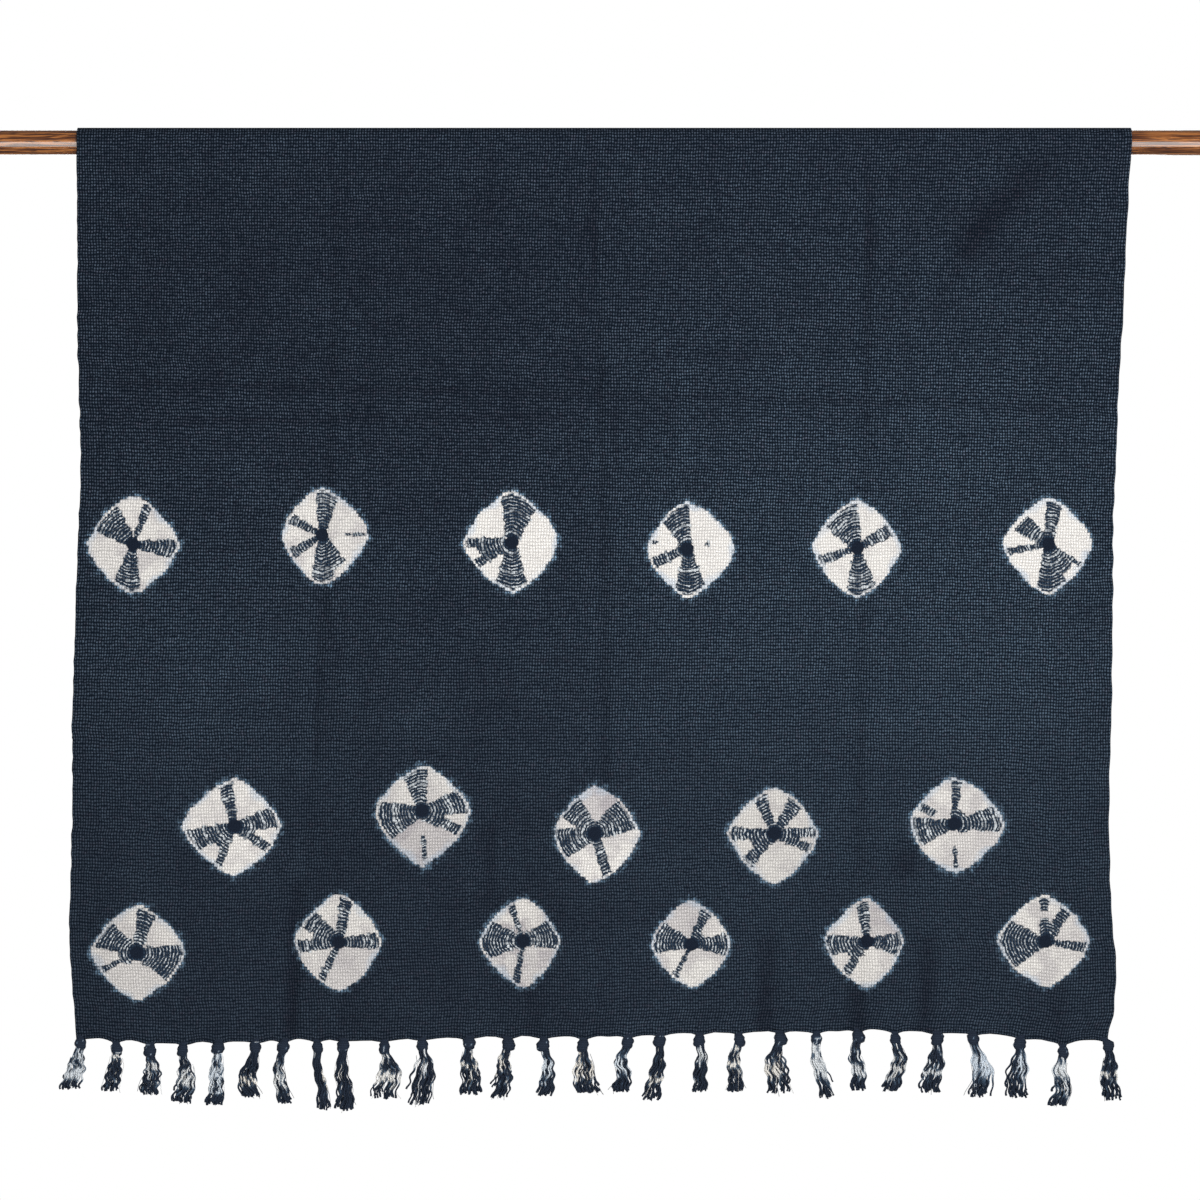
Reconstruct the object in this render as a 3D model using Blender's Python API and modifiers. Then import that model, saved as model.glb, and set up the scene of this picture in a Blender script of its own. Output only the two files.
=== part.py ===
"""A tie-dye throw blanket hanging over a round wooden rod, with a knotted fringe at each end.

Metres, +Z up. The origin is the middle of the rod's axis. X runs along the rod, and the long front
drop faces -Y. A drop is measured straight down from the rod's axis.
"""

import math
from collections import namedtuple

import bmesh
import bpy
import numpy as np

# Rod
ROD_RADIUS = 0.015
ROD_LENGTH = 1.60
ROD_SIDES = 32
ROD_EDGE_BEVEL = 0.0015
BEVEL_ANGLE = math.radians(30)

# Cloth
FLAT_LENGTH = 1.78
CLOTH_THICKNESS = 0.0024
DRAPE_RADIUS = 0.0169  # from the rod's axis to the middle of the cloth that lies on it
DRAPE_STEPS = 10
FRONT_DROP = 1.079
BACK_DROP = FLAT_LENGTH - FRONT_DROP - math.pi * DRAPE_RADIUS
FOLDS_START = 0.02  # the cloth is flat on the rod, and its folds grow from here
FOLDS_FULL = 0.22

# Grid of the cloth
ROW_STEP = 0.058
ROW_CLEAR = 0.024
CREASE_HALF_WIDTH = 0.016
PANEL_STEPS = 6

# The crease across the front where the throw lay folded, and how it slopes
CROSS_CREASE_DROP = 0.306
CROSS_CREASE_SLOPE = 0.026
CROSS_CREASE_REACH = 0.30

# Fringe
PIECE_GAP = 0.0004
STRIP_HEIGHT = 0.008
STRIP_PULL = 0.0015  # how far a knot draws the cloth's edge down
STRIP_ARCH = 0.0025  # how far the edge arches up between two knots
ROOT_HALF_WIDTH = 0.0055
LOCK_CLEAR = 0.0002
FRONT_LOCKS = 3
BACK_LOCKS = 2
BACK_FRINGE_SHARE = 0.98  # the back hem is drawn in a little more than the front one
BACK_FRINGE_SHIFT = -0.031

FRONT = -1
BACK = 1

# A side edge's place along the rod at each drop
Edge = namedtuple("Edge", "drop x")
FRONT_LEFT_EDGE = (
    Edge(0.000, -0.635), Edge(0.238, -0.634), Edge(0.407, -0.630), Edge(0.533, -0.635),
    Edge(0.702, -0.641), Edge(0.787, -0.640), Edge(0.955, -0.645), Edge(1.034, -0.639),
    Edge(1.079, -0.635),
)
FRONT_RIGHT_EDGE = (
    Edge(0.000, 0.635), Edge(0.027, 0.632), Edge(0.195, 0.624), Edge(0.280, 0.619),
    Edge(0.450, 0.612), Edge(0.618, 0.611), Edge(0.829, 0.607), Edge(0.913, 0.610),
    Edge(0.998, 0.617), Edge(1.046, 0.612), Edge(1.079, 0.605),
)
BACK_LEFT_EDGE = (Edge(0.000, -0.635), Edge(0.250, -0.630), Edge(0.480, -0.629), Edge(0.645, -0.630))
BACK_RIGHT_EDGE = (
    Edge(0.000, 0.635), Edge(0.060, 0.628), Edge(0.200, 0.616), Edge(0.450, 0.600), Edge(0.645, 0.592),
)

# How far down the cloth ends along its width
HemPoint = namedtuple("HemPoint", "x drop")
FRONT_HEM = (
    HemPoint(-0.640, 1.080), HemPoint(-0.512, 1.086), HemPoint(-0.343, 1.083), HemPoint(-0.174, 1.080),
    HemPoint(-0.005, 1.078), HemPoint(0.139, 1.074), HemPoint(0.284, 1.071), HemPoint(0.429, 1.073),
    HemPoint(0.489, 1.077), HemPoint(0.549, 1.086), HemPoint(0.605, 1.083),
)
BACK_HEM = (
    HemPoint(-0.640, BACK_DROP + 0.002), HemPoint(-0.300, BACK_DROP - 0.002),
    HemPoint(0.100, BACK_DROP + 0.003), HemPoint(0.630, BACK_DROP - 0.001),
)

# The three pressed creases that run down the throw, where they cross the rod, half-way and the hem
Crease = namedtuple("Crease", "name x_rod x_middle x_hem height")
FRONT_CREASES = (
    Crease("left quarter", -0.322, -0.338, -0.379, -0.0026),
    Crease("centre", -0.015, -0.001, 0.000, -0.0026),
    Crease("right quarter", 0.318, 0.308, 0.302, -0.0026),
)
BACK_CREASES = (
    Crease("left quarter", -0.322, -0.325, -0.330, -0.0022),
    Crease("centre", -0.015, -0.006, -0.004, -0.0022),
    Crease("right quarter", 0.318, 0.312, 0.316, -0.0022),
)

# Soft folds: a ridge, or a trough where the height is negative, along a line on the cloth
Fold = namedtuple("Fold", "name x_top drop_top x_low drop_low half_width height")
FRONT_FOLDS = (
    Fold("cross crease", -0.640, 0.289, 0.640, 0.323, 0.014, -0.0026),
    Fold("corner pucker", 0.537, 0.020, 0.400, 0.200, 0.030, -0.0040),
    Fold("left panel", -0.490, 0.150, -0.500, 0.760, 0.110, 0.0050),
    Fold("inner left panel", -0.170, 0.120, -0.180, 0.600, 0.110, 0.0040),
    Fold("inner right panel", 0.150, 0.100, 0.150, 0.640, 0.110, 0.0050),
    Fold("right bulge", 0.480, 0.400, 0.500, 0.800, 0.120, 0.0070),
    Fold("left edge curl", -0.640, 0.720, -0.640, 1.080, 0.030, -0.0060),
    Fold("right edge bend", 0.612, 0.260, 0.612, 0.640, 0.030, -0.0030),
    Fold("right edge curl", 0.612, 0.730, 0.612, 1.000, 0.030, -0.0090),
    Fold("hem wave 1", -0.560, 0.900, -0.575, 1.080, 0.055, 0.0060),
    Fold("left crease dip", -0.336, 0.520, -0.340, 0.760, 0.045, -0.0020),
    Fold("hem trough 1", -0.366, 0.860, -0.379, 1.080, 0.050, -0.0080),
    Fold("hem wave 2", -0.255, 0.840, -0.250, 1.080, 0.070, 0.0070),
    Fold("hem trough 2", -0.130, 0.870, -0.135, 1.080, 0.045, -0.0060),
    Fold("hem wave 3", -0.030, 0.800, -0.020, 1.080, 0.060, 0.0060),
    Fold("hem trough 3", 0.085, 0.880, 0.080, 1.080, 0.045, -0.0040),
    Fold("hem trough 4", 0.200, 0.930, 0.194, 1.080, 0.035, -0.0060),
    Fold("hem wave 4", 0.250, 0.860, 0.248, 1.080, 0.040, 0.0050),
    Fold("hem trough 5", 0.305, 0.900, 0.302, 1.080, 0.035, -0.0060),
    Fold("hem wave 5", 0.430, 0.840, 0.440, 1.080, 0.080, 0.0080),
)
BACK_FOLDS = (
    Fold("left panel", -0.480, 0.120, -0.490, 0.500, 0.110, 0.0050),
    Fold("inner left panel", -0.160, 0.150, -0.170, 0.560, 0.100, 0.0050),
    Fold("inner right panel", 0.160, 0.120, 0.150, 0.600, 0.110, 0.0060),
    Fold("right panel", 0.480, 0.150, 0.470, 0.560, 0.110, 0.0050),
    Fold("left edge curl", -0.632, 0.250, -0.630, 0.645, 0.028, 0.0050),
    Fold("right edge curl", 0.606, 0.250, 0.594, 0.645, 0.030, 0.0080),
    Fold("hem wave 1", -0.400, 0.420, -0.410, 0.645, 0.060, 0.0070),
    Fold("hem trough 1", -0.262, 0.500, -0.270, 0.645, 0.040, -0.0030),
    Fold("hem wave 2", -0.070, 0.450, -0.080, 0.645, 0.060, 0.0060),
    Fold("hem wave 3", 0.250, 0.430, 0.255, 0.645, 0.060, 0.0070),
    Fold("hem wave 4", 0.520, 0.470, 0.530, 0.645, 0.050, 0.0060),
)

# The fringe: each tassel's place along the hem, how far its knot's middle hangs below the hem, how far
# its locks sway sideways a third of the way down, two thirds down and at their ends, their length below
# the knot, and how far apart neighbouring ends stand
Tassel = namedtuple("Tassel", "x knot_drop sway_upper sway_lower sway_end length spread")
TASSELS = (
    Tassel(-0.6305, 0.003, -0.005, -0.006, -0.013, 0.051, 0.011),
    Tassel(-0.5867, 0.007, 0.000, -0.005, -0.008, 0.047, 0.009),
    Tassel(-0.5469, 0.007, 0.004, 0.002, -0.002, 0.049, 0.010),
    Tassel(-0.5076, 0.005, 0.004, 0.005, -0.004, 0.060, 0.012),
    Tassel(-0.4649, 0.003, -0.001, -0.002, -0.005, 0.065, 0.009),
    Tassel(-0.4203, 0.003, -0.004, -0.011, -0.007, 0.057, 0.010),
    Tassel(-0.3865, 0.004, -0.007, -0.005, 0.004, 0.064, 0.006),
    Tassel(-0.3455, 0.005, 0.000, 0.005, 0.007, 0.071, 0.006),
    Tassel(-0.3142, 0.004, -0.002, 0.001, 0.005, 0.073, 0.009),
    Tassel(-0.2647, 0.006, 0.007, 0.006, 0.000, 0.058, 0.014),
    Tassel(-0.2189, 0.004, 0.005, 0.001, -0.005, 0.067, 0.013),
    Tassel(-0.1629, 0.003, -0.002, 0.003, 0.004, 0.058, 0.011),
    Tassel(-0.1164, 0.005, -0.006, -0.002, -0.012, 0.061, 0.009),
    Tassel(-0.0730, 0.006, 0.006, 0.004, 0.002, 0.057, 0.008),
    Tassel(-0.0259, 0.007, 0.001, 0.002, 0.006, 0.054, 0.013),
    Tassel(0.0281, 0.005, -0.009, -0.005, -0.009, 0.055, 0.009),
    Tassel(0.0669, 0.004, -0.001, -0.005, -0.012, 0.067, 0.009),
    Tassel(0.1140, 0.005, 0.005, 0.000, 0.000, 0.058, 0.008),
    Tassel(0.1616, 0.006, -0.006, -0.005, -0.002, 0.058, 0.009),
    Tassel(0.2113, 0.005, -0.007, -0.005, -0.001, 0.063, 0.014),
    Tassel(0.2551, 0.006, -0.001, 0.006, 0.014, 0.067, 0.008),
    Tassel(0.3053, 0.004, -0.004, 0.002, 0.000, 0.061, 0.009),
    Tassel(0.3497, 0.006, 0.007, 0.001, -0.004, 0.058, 0.008),
    Tassel(0.4003, 0.005, -0.001, -0.006, -0.009, 0.060, 0.010),
    Tassel(0.4428, 0.003, 0.008, 0.013, 0.008, 0.066, 0.012),
    Tassel(0.4996, 0.004, 0.001, -0.006, -0.002, 0.061, 0.012),
    Tassel(0.5517, 0.008, -0.005, 0.000, -0.007, 0.060, 0.010),
    Tassel(0.6060, 0.002, 0.003, 0.000, 0.004, 0.062, 0.011),
)

# A knot's rings, from the hem down: the height above its middle, half its width and half its depth
KnotRing = namedtuple("KnotRing", "rise half_width half_depth")
KNOT_RINGS = (
    KnotRing(0.0035, 0.0078, 0.0062),
    KnotRing(-0.0030, 0.0080, 0.0062),
    KnotRing(-0.0068, 0.0056, 0.0042),
)
RING_OPENING = math.radians(70)  # how far round from its front a ring's front points reach

# A lock's sections down its length: the share of the length, half its width and half its depth, and
# how far it is from its neighbour as a share of the way to the spread at the ends
LockSection = namedtuple("LockSection", "share half_width half_depth spreading")
FRONT_LOCK_SECTIONS = (
    LockSection(0.12, 0.0024, 0.0040, 0.00),
    LockSection(0.38, 0.0030, 0.0042, 0.10),
    LockSection(0.70, 0.0030, 0.0038, 0.45),
    LockSection(1.00, 0.0022, 0.0026, 1.00),
)
BACK_LOCK_SECTIONS = (
    LockSection(0.16, 0.0036, 0.0040, 0.00),
    LockSection(0.58, 0.0044, 0.0042, 0.30),
    LockSection(1.00, 0.0030, 0.0028, 1.00),
)
LOCK_LENGTH_STEP = 0.07  # how much shorter one lock of a tassel is than another, as a share
LOCK_DEPTH_STEP = 0.0015  # how far the middle locks hang in front of the others

ROD_COLOUR = (0.171, 0.064, 0.028, 1.0)
CLOTH_COLOUR = (0.021, 0.031, 0.047, 1.0)
FRINGE_COLOUR = (0.045, 0.065, 0.095, 1.0)


def smoothstep(value, low, high):
    share = min(max((value - low) / (high - low), 0.0), 1.0)
    return share * share * (3.0 - 2.0 * share)


def along(table, value, given, wanted):
    """The wanted column at this value of the given one, on straight lines between the table's rows."""
    return float(
        np.interp(value, [getattr(row, given) for row in table], [getattr(row, wanted) for row in table])
    )


def crease_x(crease, drop, full_drop):
    places = (crease.x_rod, crease.x_middle, crease.x_hem)
    return float(np.interp(drop, (0.0, full_drop / 2, full_drop), places))


def fold_height(fold, x, drop):
    """How far this fold lifts the cloth there: full on its line, and fading to each side of it."""
    run_x = fold.x_low - fold.x_top
    run_drop = fold.drop_low - fold.drop_top
    length_squared = run_x * run_x + run_drop * run_drop
    share = ((x - fold.x_top) * run_x + (drop - fold.drop_top) * run_drop) / length_squared
    share = min(max(share, 0.0), 1.0)
    away = math.hypot(x - fold.x_top - share * run_x, drop - fold.drop_top - share * run_drop)
    return fold.height * math.exp(-((away / fold.half_width) ** 2))


class Drop:
    """One hanging side of the cloth: its outline, creases and folds."""

    def __init__(self, side, full_drop, left_edge, right_edge, hem, creases, folds):
        self.side = side
        self.full_drop = full_drop
        self.left_edge = left_edge
        self.right_edge = right_edge
        self.hem = hem
        self.creases = creases
        self.folds = folds

    def column_places(self, drop):
        """The x of every grid column at this drop: close together at the creases, even between them."""
        anchors = [along(self.left_edge, drop, "drop", "x")]
        anchors += [crease_x(crease, drop, self.full_drop) for crease in self.creases]
        anchors += [along(self.right_edge, drop, "drop", "x")]
        places = []
        for low, high in zip(anchors, anchors[1:]):
            places.append(low)
            places += list(np.linspace(low + CREASE_HALF_WIDTH, high - CREASE_HALF_WIDTH, PANEL_STEPS + 1))
        places.append(anchors[-1])
        return places

    def hem_drop(self, x):
        return along(self.hem, x, "x", "drop")

    def row_drop(self, row, x):
        """A grid row's true drop at x: rows follow the cross crease's slope and end along the hem."""
        weight = (row / self.full_drop) ** 3
        drop = row + (self.hem_drop(x) - self.full_drop) * weight
        if self.side == FRONT:
            nearness = max(0.0, 1.0 - abs(row - CROSS_CREASE_DROP) / CROSS_CREASE_REACH)
            drop += CROSS_CREASE_SLOPE * x * nearness
        return drop

    def relief(self, x, drop):
        """How far the cloth stands out from the plane that hangs off the rod."""
        height = sum(fold_height(fold, x, drop) for fold in self.folds)
        for crease in self.creases:
            away = (x - crease_x(crease, drop, self.full_drop)) / (CREASE_HALF_WIDTH / 2)
            height += crease.height * math.exp(-away * away)
        return height * smoothstep(drop, FOLDS_START, FOLDS_FULL)

    def point(self, row, column):
        x = self.column_places(row)[column]
        drop = self.row_drop(row, x)
        return (x, self.side * (DRAPE_RADIUS + self.relief(x, drop)), -drop)


def row_stations(full_drop, special):
    """Rows down a drop: the special ones, and even ones that keep clear of them."""
    count = round(full_drop / ROW_STEP)
    even = np.linspace(0.0, full_drop, count + 1)[1:]
    kept = [row for row in even if all(abs(row - other) > ROW_CLEAR for other in special)]
    return sorted(kept + list(special))


def drops_and_rows():
    front = Drop(
        FRONT, FRONT_DROP, FRONT_LEFT_EDGE, FRONT_RIGHT_EDGE, FRONT_HEM, FRONT_CREASES, FRONT_FOLDS
    )
    back = Drop(BACK, BACK_DROP, BACK_LEFT_EDGE, BACK_RIGHT_EDGE, BACK_HEM, BACK_CREASES, BACK_FOLDS)
    cross = [CROSS_CREASE_DROP + shift * CREASE_HALF_WIDTH for shift in (-1, 0, 1)]
    front_rows = row_stations(FRONT_DROP - STRIP_HEIGHT, cross)
    back_rows = row_stations(BACK_DROP - STRIP_HEIGHT, ())
    return front, front_rows, back, back_rows


def material(name, colour, roughness):
    made = bpy.data.materials.new(name)
    made.use_nodes = True
    shader = made.node_tree.nodes["Principled BSDF"]
    shader.inputs["Base Color"].default_value = colour
    shader.inputs["Roughness"].default_value = roughness
    shader.inputs["Metallic"].default_value = 0.0
    made.diffuse_color = colour
    return made


def add_object(name, mesh, surface, collection):
    mesh.materials.append(surface)
    made = bpy.data.objects.new(name, mesh)
    collection.objects.link(made)
    return made


def make_rod(collection):
    bpy.ops.mesh.primitive_cylinder_add(
        vertices=ROD_SIDES, radius=ROD_RADIUS, depth=ROD_LENGTH, rotation=(0.0, math.pi / 2, 0.0)
    )
    rod = bpy.context.active_object
    rod.name = "rod"
    for holder in list(rod.users_collection):
        holder.objects.unlink(rod)
    collection.objects.link(rod)
    bevel = rod.modifiers.new("Rounded ends", "BEVEL")
    bevel.width = ROD_EDGE_BEVEL
    bevel.segments = 1
    bevel.limit_method = "ANGLE"
    bevel.angle_limit = BEVEL_ANGLE
    rod.data.materials.append(material("rod wood", ROD_COLOUR, 0.35))
    rod.data.shade_smooth()
    rod.data.set_sharp_from_angle(angle=BEVEL_ANGLE)
    return rod


def drape_point(front, step, column):
    """A point of the cloth that lies on the rod, this many steps over from the front."""
    angle = math.pi * step / DRAPE_STEPS
    x = front.column_places(0.0)[column]
    return (x, -DRAPE_RADIUS * math.cos(angle), DRAPE_RADIUS * math.sin(angle))


def make_throw(front, front_rows, back, back_rows, collection):
    """The whole cloth as one grid, up the front, over the rod and down the back, then thickened."""
    columns = len(front.column_places(0.0))
    lines = [[front.point(row, i) for i in range(columns)] for row in reversed(front_rows)]
    lines += [[drape_point(front, step, i) for i in range(columns)] for step in range(DRAPE_STEPS + 1)]
    lines += [[back.point(row, i) for i in range(columns)] for row in back_rows]
    grid = bmesh.new()
    bmesh.ops.create_grid(grid, x_segments=columns - 1, y_segments=len(lines) - 1, size=0.5)
    for vertex in grid.verts:
        column = round((vertex.co.x + 0.5) * (columns - 1))
        line = round((vertex.co.y + 0.5) * (len(lines) - 1))
        vertex.co = lines[line][column]
    bmesh.ops.recalc_face_normals(grid, faces=grid.faces[:])
    mesh = bpy.data.meshes.new("throw")
    grid.to_mesh(mesh)
    grid.free()
    mesh.shade_smooth()
    throw = add_object("throw", mesh, material("throw cloth", CLOTH_COLOUR, 0.9), collection)
    solidify = throw.modifiers.new("Cloth thickness", "SOLIDIFY")
    solidify.thickness = CLOTH_THICKNESS
    solidify.offset = 0.0
    solidify.use_even_offset = True
    return lines[0], lines[-1]


def bridge(shape, ring, lower_ring):
    """A band of faces between two rings of as many points."""
    count = len(ring)
    for i in range(count):
        after = (i + 1) % count
        shape.faces.new((ring[i], ring[after], lower_ring[after], lower_ring[i]))


def knot_ring(shape, ring, middle, side, locks):
    """A ring of points round a knot: its outer half from left to right, then its inner half back."""
    x, y, z = middle
    angles = np.linspace(-RING_OPENING, RING_OPENING, locks + 1)
    points = [(x + ring.half_width * math.sin(a), side * ring.half_depth * math.cos(a)) for a in angles]
    points += [(place, -away) for place, away in reversed(points)]
    return [shape.verts.new((place, y + away, z + ring.rise)) for place, away in points]


def add_lock(shape, root, tassel, number, count, middle, side, sections):
    """One lock of a tassel: four-sided sections down its swaying path, from the knot's underside."""
    x, y, z = middle
    place = number - (count - 1) / 2
    length = tassel.length * (1.0 - LOCK_LENGTH_STEP * ((number + round(abs(x) * 100)) % count))
    start_pitch = 2 * sections[0].half_width + 2 * LOCK_CLEAR
    upper = root
    for section in sections:
        sways = (0.0, tassel.sway_upper, tassel.sway_lower, tassel.sway_end)
        sway = float(np.interp(section.share, (0.0, 1 / 3, 2 / 3, 1.0), sways))
        pitch = start_pitch + (max(tassel.spread, start_pitch) - start_pitch) * section.spreading
        pitch = max(pitch, 2 * section.half_width + 2 * LOCK_CLEAR)
        centre_x = x + sway + place * pitch
        centre_y = y + side * LOCK_DEPTH_STEP * (1 - abs(place)) * section.share
        low = z - length * section.share
        corners = ((-1, 1), (1, 1), (1, -1), (-1, -1))
        lower = [
            shape.verts.new(
                (centre_x + across * section.half_width, centre_y + side * out * section.half_depth, low)
            )
            for across, out in corners
        ]
        bridge(shape, upper, lower)
        upper = lower
    shape.faces.new(upper)


def strip_columns(tassels, left_x, right_x, locks):
    """The strip's columns as (x, tassel or None): one set at each knot's root, and one between knots."""
    columns = []
    for tassel in tassels:
        root_x = min(max(tassel.x, left_x + ROOT_HALF_WIDTH), right_x - ROOT_HALF_WIDTH)
        roots = np.linspace(root_x - ROOT_HALF_WIDTH, root_x + ROOT_HALF_WIDTH, locks + 1)
        if columns:
            columns.append(((columns[-1][0] + roots[0]) / 2, None))
        columns += [(float(x), tassel) for x in roots]
    return columns


def make_fringe(name, drop, hem_line, tassels, locks, sections, collection):
    """The narrow strip at the cloth's edge, with every knot and lock grown from it as one body."""
    line_x = [point[0] for point in hem_line]
    line_y = [point[1] for point in hem_line]
    line_z = [point[2] for point in hem_line]
    half = drop.side * CLOTH_THICKNESS / 2
    columns = strip_columns(tassels, line_x[0], line_x[-1], locks)
    shape = bmesh.new()
    sets = []
    for x, tassel in columns:
        y = float(np.interp(x, line_x, line_y))
        top = float(np.interp(x, line_x, line_z)) - PIECE_GAP
        low = -drop.hem_drop(x) + (STRIP_ARCH if tassel is None else -STRIP_PULL)
        places = ((y + half, top), (y - half, top), (y - half, low), (y + half, low))
        sets.append([shape.verts.new((x, across, height)) for across, height in places])
    for (left, here), (right, after) in zip(zip(sets, columns), zip(sets[1:], columns[1:])):
        shape.faces.new((left[0], right[0], right[3], left[3]))
        shape.faces.new((left[1], left[2], right[2], right[1]))
        shape.faces.new((left[0], left[1], right[1], right[0]))
        if here[1] is None or here[1] is not after[1]:
            shape.faces.new((left[3], right[3], right[2], left[2]))
    shape.faces.new(sets[0])
    shape.faces.new(reversed(sets[-1]))
    for tassel in tassels:
        roots = [corners for corners, column in zip(sets, columns) if column[1] is tassel]
        ring = [corners[3] for corners in roots] + [corners[2] for corners in reversed(roots)]
        y = float(np.interp(tassel.x, line_x, line_y))
        middle = (tassel.x, y, -drop.hem_drop(tassel.x) - tassel.knot_drop - STRIP_PULL)
        for size in KNOT_RINGS:
            lower_ring = knot_ring(shape, size, middle, drop.side, locks)
            bridge(shape, ring, lower_ring)
            ring = lower_ring
        lock_start = (middle[0], middle[1], middle[2] + KNOT_RINGS[-1].rise)
        for number in range(locks):
            last = len(ring) - 1
            root = (ring[number], ring[number + 1], ring[last - number - 1], ring[last - number])
            add_lock(shape, root, tassel, number, locks, lock_start, drop.side, sections)
    bmesh.ops.recalc_face_normals(shape, faces=shape.faces[:])
    mesh = bpy.data.meshes.new(name)
    shape.to_mesh(mesh)
    shape.free()
    return add_object(name, mesh, material(name + " yarn", FRINGE_COLOUR, 0.9), collection)


def back_tassels():
    """The hidden end's fringe: the same places seen from behind, each with another tassel's locks."""
    count = len(TASSELS)
    chosen = []
    for i, tassel in enumerate(TASSELS):
        other = TASSELS[(5 * i + 3) % count]
        chosen.append(other._replace(x=BACK_FRINGE_SHIFT - BACK_FRINGE_SHARE * tassel.x))
    return tuple(reversed(chosen))


def main():
    for old in list(bpy.data.objects):
        bpy.data.objects.remove(old, do_unlink=True)
    collection = bpy.data.collections.new("Tie-dye throw over a rod")
    bpy.context.scene.collection.children.link(collection)
    front, front_rows, back, back_rows = drops_and_rows()
    make_rod(collection)
    front_line, back_line = make_throw(front, front_rows, back, back_rows, collection)
    make_fringe(
        "fringe_front", front, front_line, TASSELS, FRONT_LOCKS, FRONT_LOCK_SECTIONS, collection
    )
    make_fringe(
        "fringe_back", back, back_line, back_tassels(), BACK_LOCKS, BACK_LOCK_SECTIONS, collection
    )


main()
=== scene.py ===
"""Looks for the tie-dye throw over its wooden rod: dyed cloth, knotted yarn fringes, rod, light and camera.

Metres, +Z up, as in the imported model. X runs along the rod, whose axis passes through the origin, and a
drop is measured straight down from it. The long front drop faces -Y.
"""

import math
from collections import namedtuple

import bpy
import numpy as np
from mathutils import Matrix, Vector


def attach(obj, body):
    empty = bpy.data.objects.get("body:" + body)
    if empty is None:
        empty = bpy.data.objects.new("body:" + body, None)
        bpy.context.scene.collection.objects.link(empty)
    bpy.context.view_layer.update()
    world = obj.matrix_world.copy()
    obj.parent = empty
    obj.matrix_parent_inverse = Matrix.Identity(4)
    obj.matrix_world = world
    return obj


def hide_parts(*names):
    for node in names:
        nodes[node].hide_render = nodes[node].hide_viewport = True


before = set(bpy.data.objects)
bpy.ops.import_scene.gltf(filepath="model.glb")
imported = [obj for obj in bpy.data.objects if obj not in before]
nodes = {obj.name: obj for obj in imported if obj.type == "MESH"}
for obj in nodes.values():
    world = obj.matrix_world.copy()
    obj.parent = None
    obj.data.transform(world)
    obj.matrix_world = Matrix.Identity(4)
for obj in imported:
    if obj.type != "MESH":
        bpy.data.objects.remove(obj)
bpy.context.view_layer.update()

FRONT = -1
BACK = 1
SEED = 7

# Camera: level, straight in front, and far away behind a long lens
CAMERA_X = -0.0054
CAMERA_Z = -0.5514
CAMERA_DISTANCE = 7.0
VIEW_HALF_WIDTH = 0.7236
SENSOR_WIDTH = 36.0

# Cloth, as in the solids
FLAT_WIDTH = 1.27
FLAT_LENGTH = 1.78
CLOTH_THICKNESS = 0.0024
DRAPE_RADIUS = 0.0169
FRONT_DROP = 1.079
BACK_DROP = FLAT_LENGTH - FRONT_DROP - math.pi * DRAPE_RADIUS
FOLDS_START = 0.02
FOLDS_FULL = 0.22
CREASE_HALF_WIDTH = 0.016
CROSS_CREASE_DROP = 0.306
CROSS_CREASE_SLOPE = 0.026
CROSS_CREASE_REACH = 0.30
STRIP_PULL = 0.0015
STRIP_ARCH = 0.0022

# Grid of the cloth, finer than the solid's
PANEL_COLUMNS = 46  # between two vertical creases, closer together beside them
PANEL_CROWDING = 0.45
ROW_CROWDING = 2.0
ROW_CROWD_HALF = 0.030
FRONT_ROWS = 155
DRAPE_ROWS = 9
BACK_ROWS = 92
HEM_REACH = 0.020  # how far above the hem the knots draw the cloth
KNOT_PULL_HALF = 0.006
KNOT_ARCH_HALF = 0.012
EDGE_WAVE = 0.0009
EDGE_WAVE_PITCH = 0.026
HEM_WAVE = 0.0008


def thousandths(kind, *rows):
    """Rows of numbers in thousandths, such as millimetres, as named tuples of this kind."""
    return tuple(kind(*(cell / 1000 for cell in row)) for row in rows)


Edge = namedtuple("Edge", "drop x")
FRONT_LEFT_EDGE = thousandths(
    Edge,
    (0, -635), (238, -634), (407, -630), (533, -635), (702, -641), (787, -640), (955, -645), (1034, -639),
    (1079, -635),
)
FRONT_RIGHT_EDGE = thousandths(
    Edge,
    (0, 635), (27, 632), (195, 624), (280, 619), (450, 612), (618, 611), (829, 607), (913, 610), (998, 617),
    (1046, 612), (1079, 605),
)
BACK_LEFT_EDGE = thousandths(Edge, (0, -635), (250, -630), (480, -629), (645, -630))
BACK_RIGHT_EDGE = thousandths(
    Edge,
    (0, 635), (60, 628), (200, 616), (450, 600), (645, 592),
)

HemPoint = namedtuple("HemPoint", "x drop")
FRONT_HEM = thousandths(
    HemPoint,
    (-640, 1080), (-512, 1086), (-343, 1083), (-174, 1080), (-5, 1078), (139, 1074), (284, 1071),
    (429, 1073), (489, 1077), (549, 1086), (605, 1083),
)
BACK_HEM = tuple(
    HemPoint(x, BACK_DROP + lower)
    for x, lower in ((-0.64, 0.002), (-0.3, -0.002), (0.1, 0.003), (0.63, -0.001))
)

# Creases pressed into the cloth where it was folded: x where each crosses the rod, half way and the hem
Crease = namedtuple("Crease", "x_rod x_middle x_hem height")
FRONT_CREASES = thousandths(
    Crease,
    (-322, -338, -379, -2.6), (-15, -1, 0, -2.6), (318, 308, 302, -2.6),
)
BACK_CREASES = thousandths(
    Crease,
    (-322, -325, -330, -2.2), (-15, -6, -4, -2.2), (318, 312, 316, -2.2),
)

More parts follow.
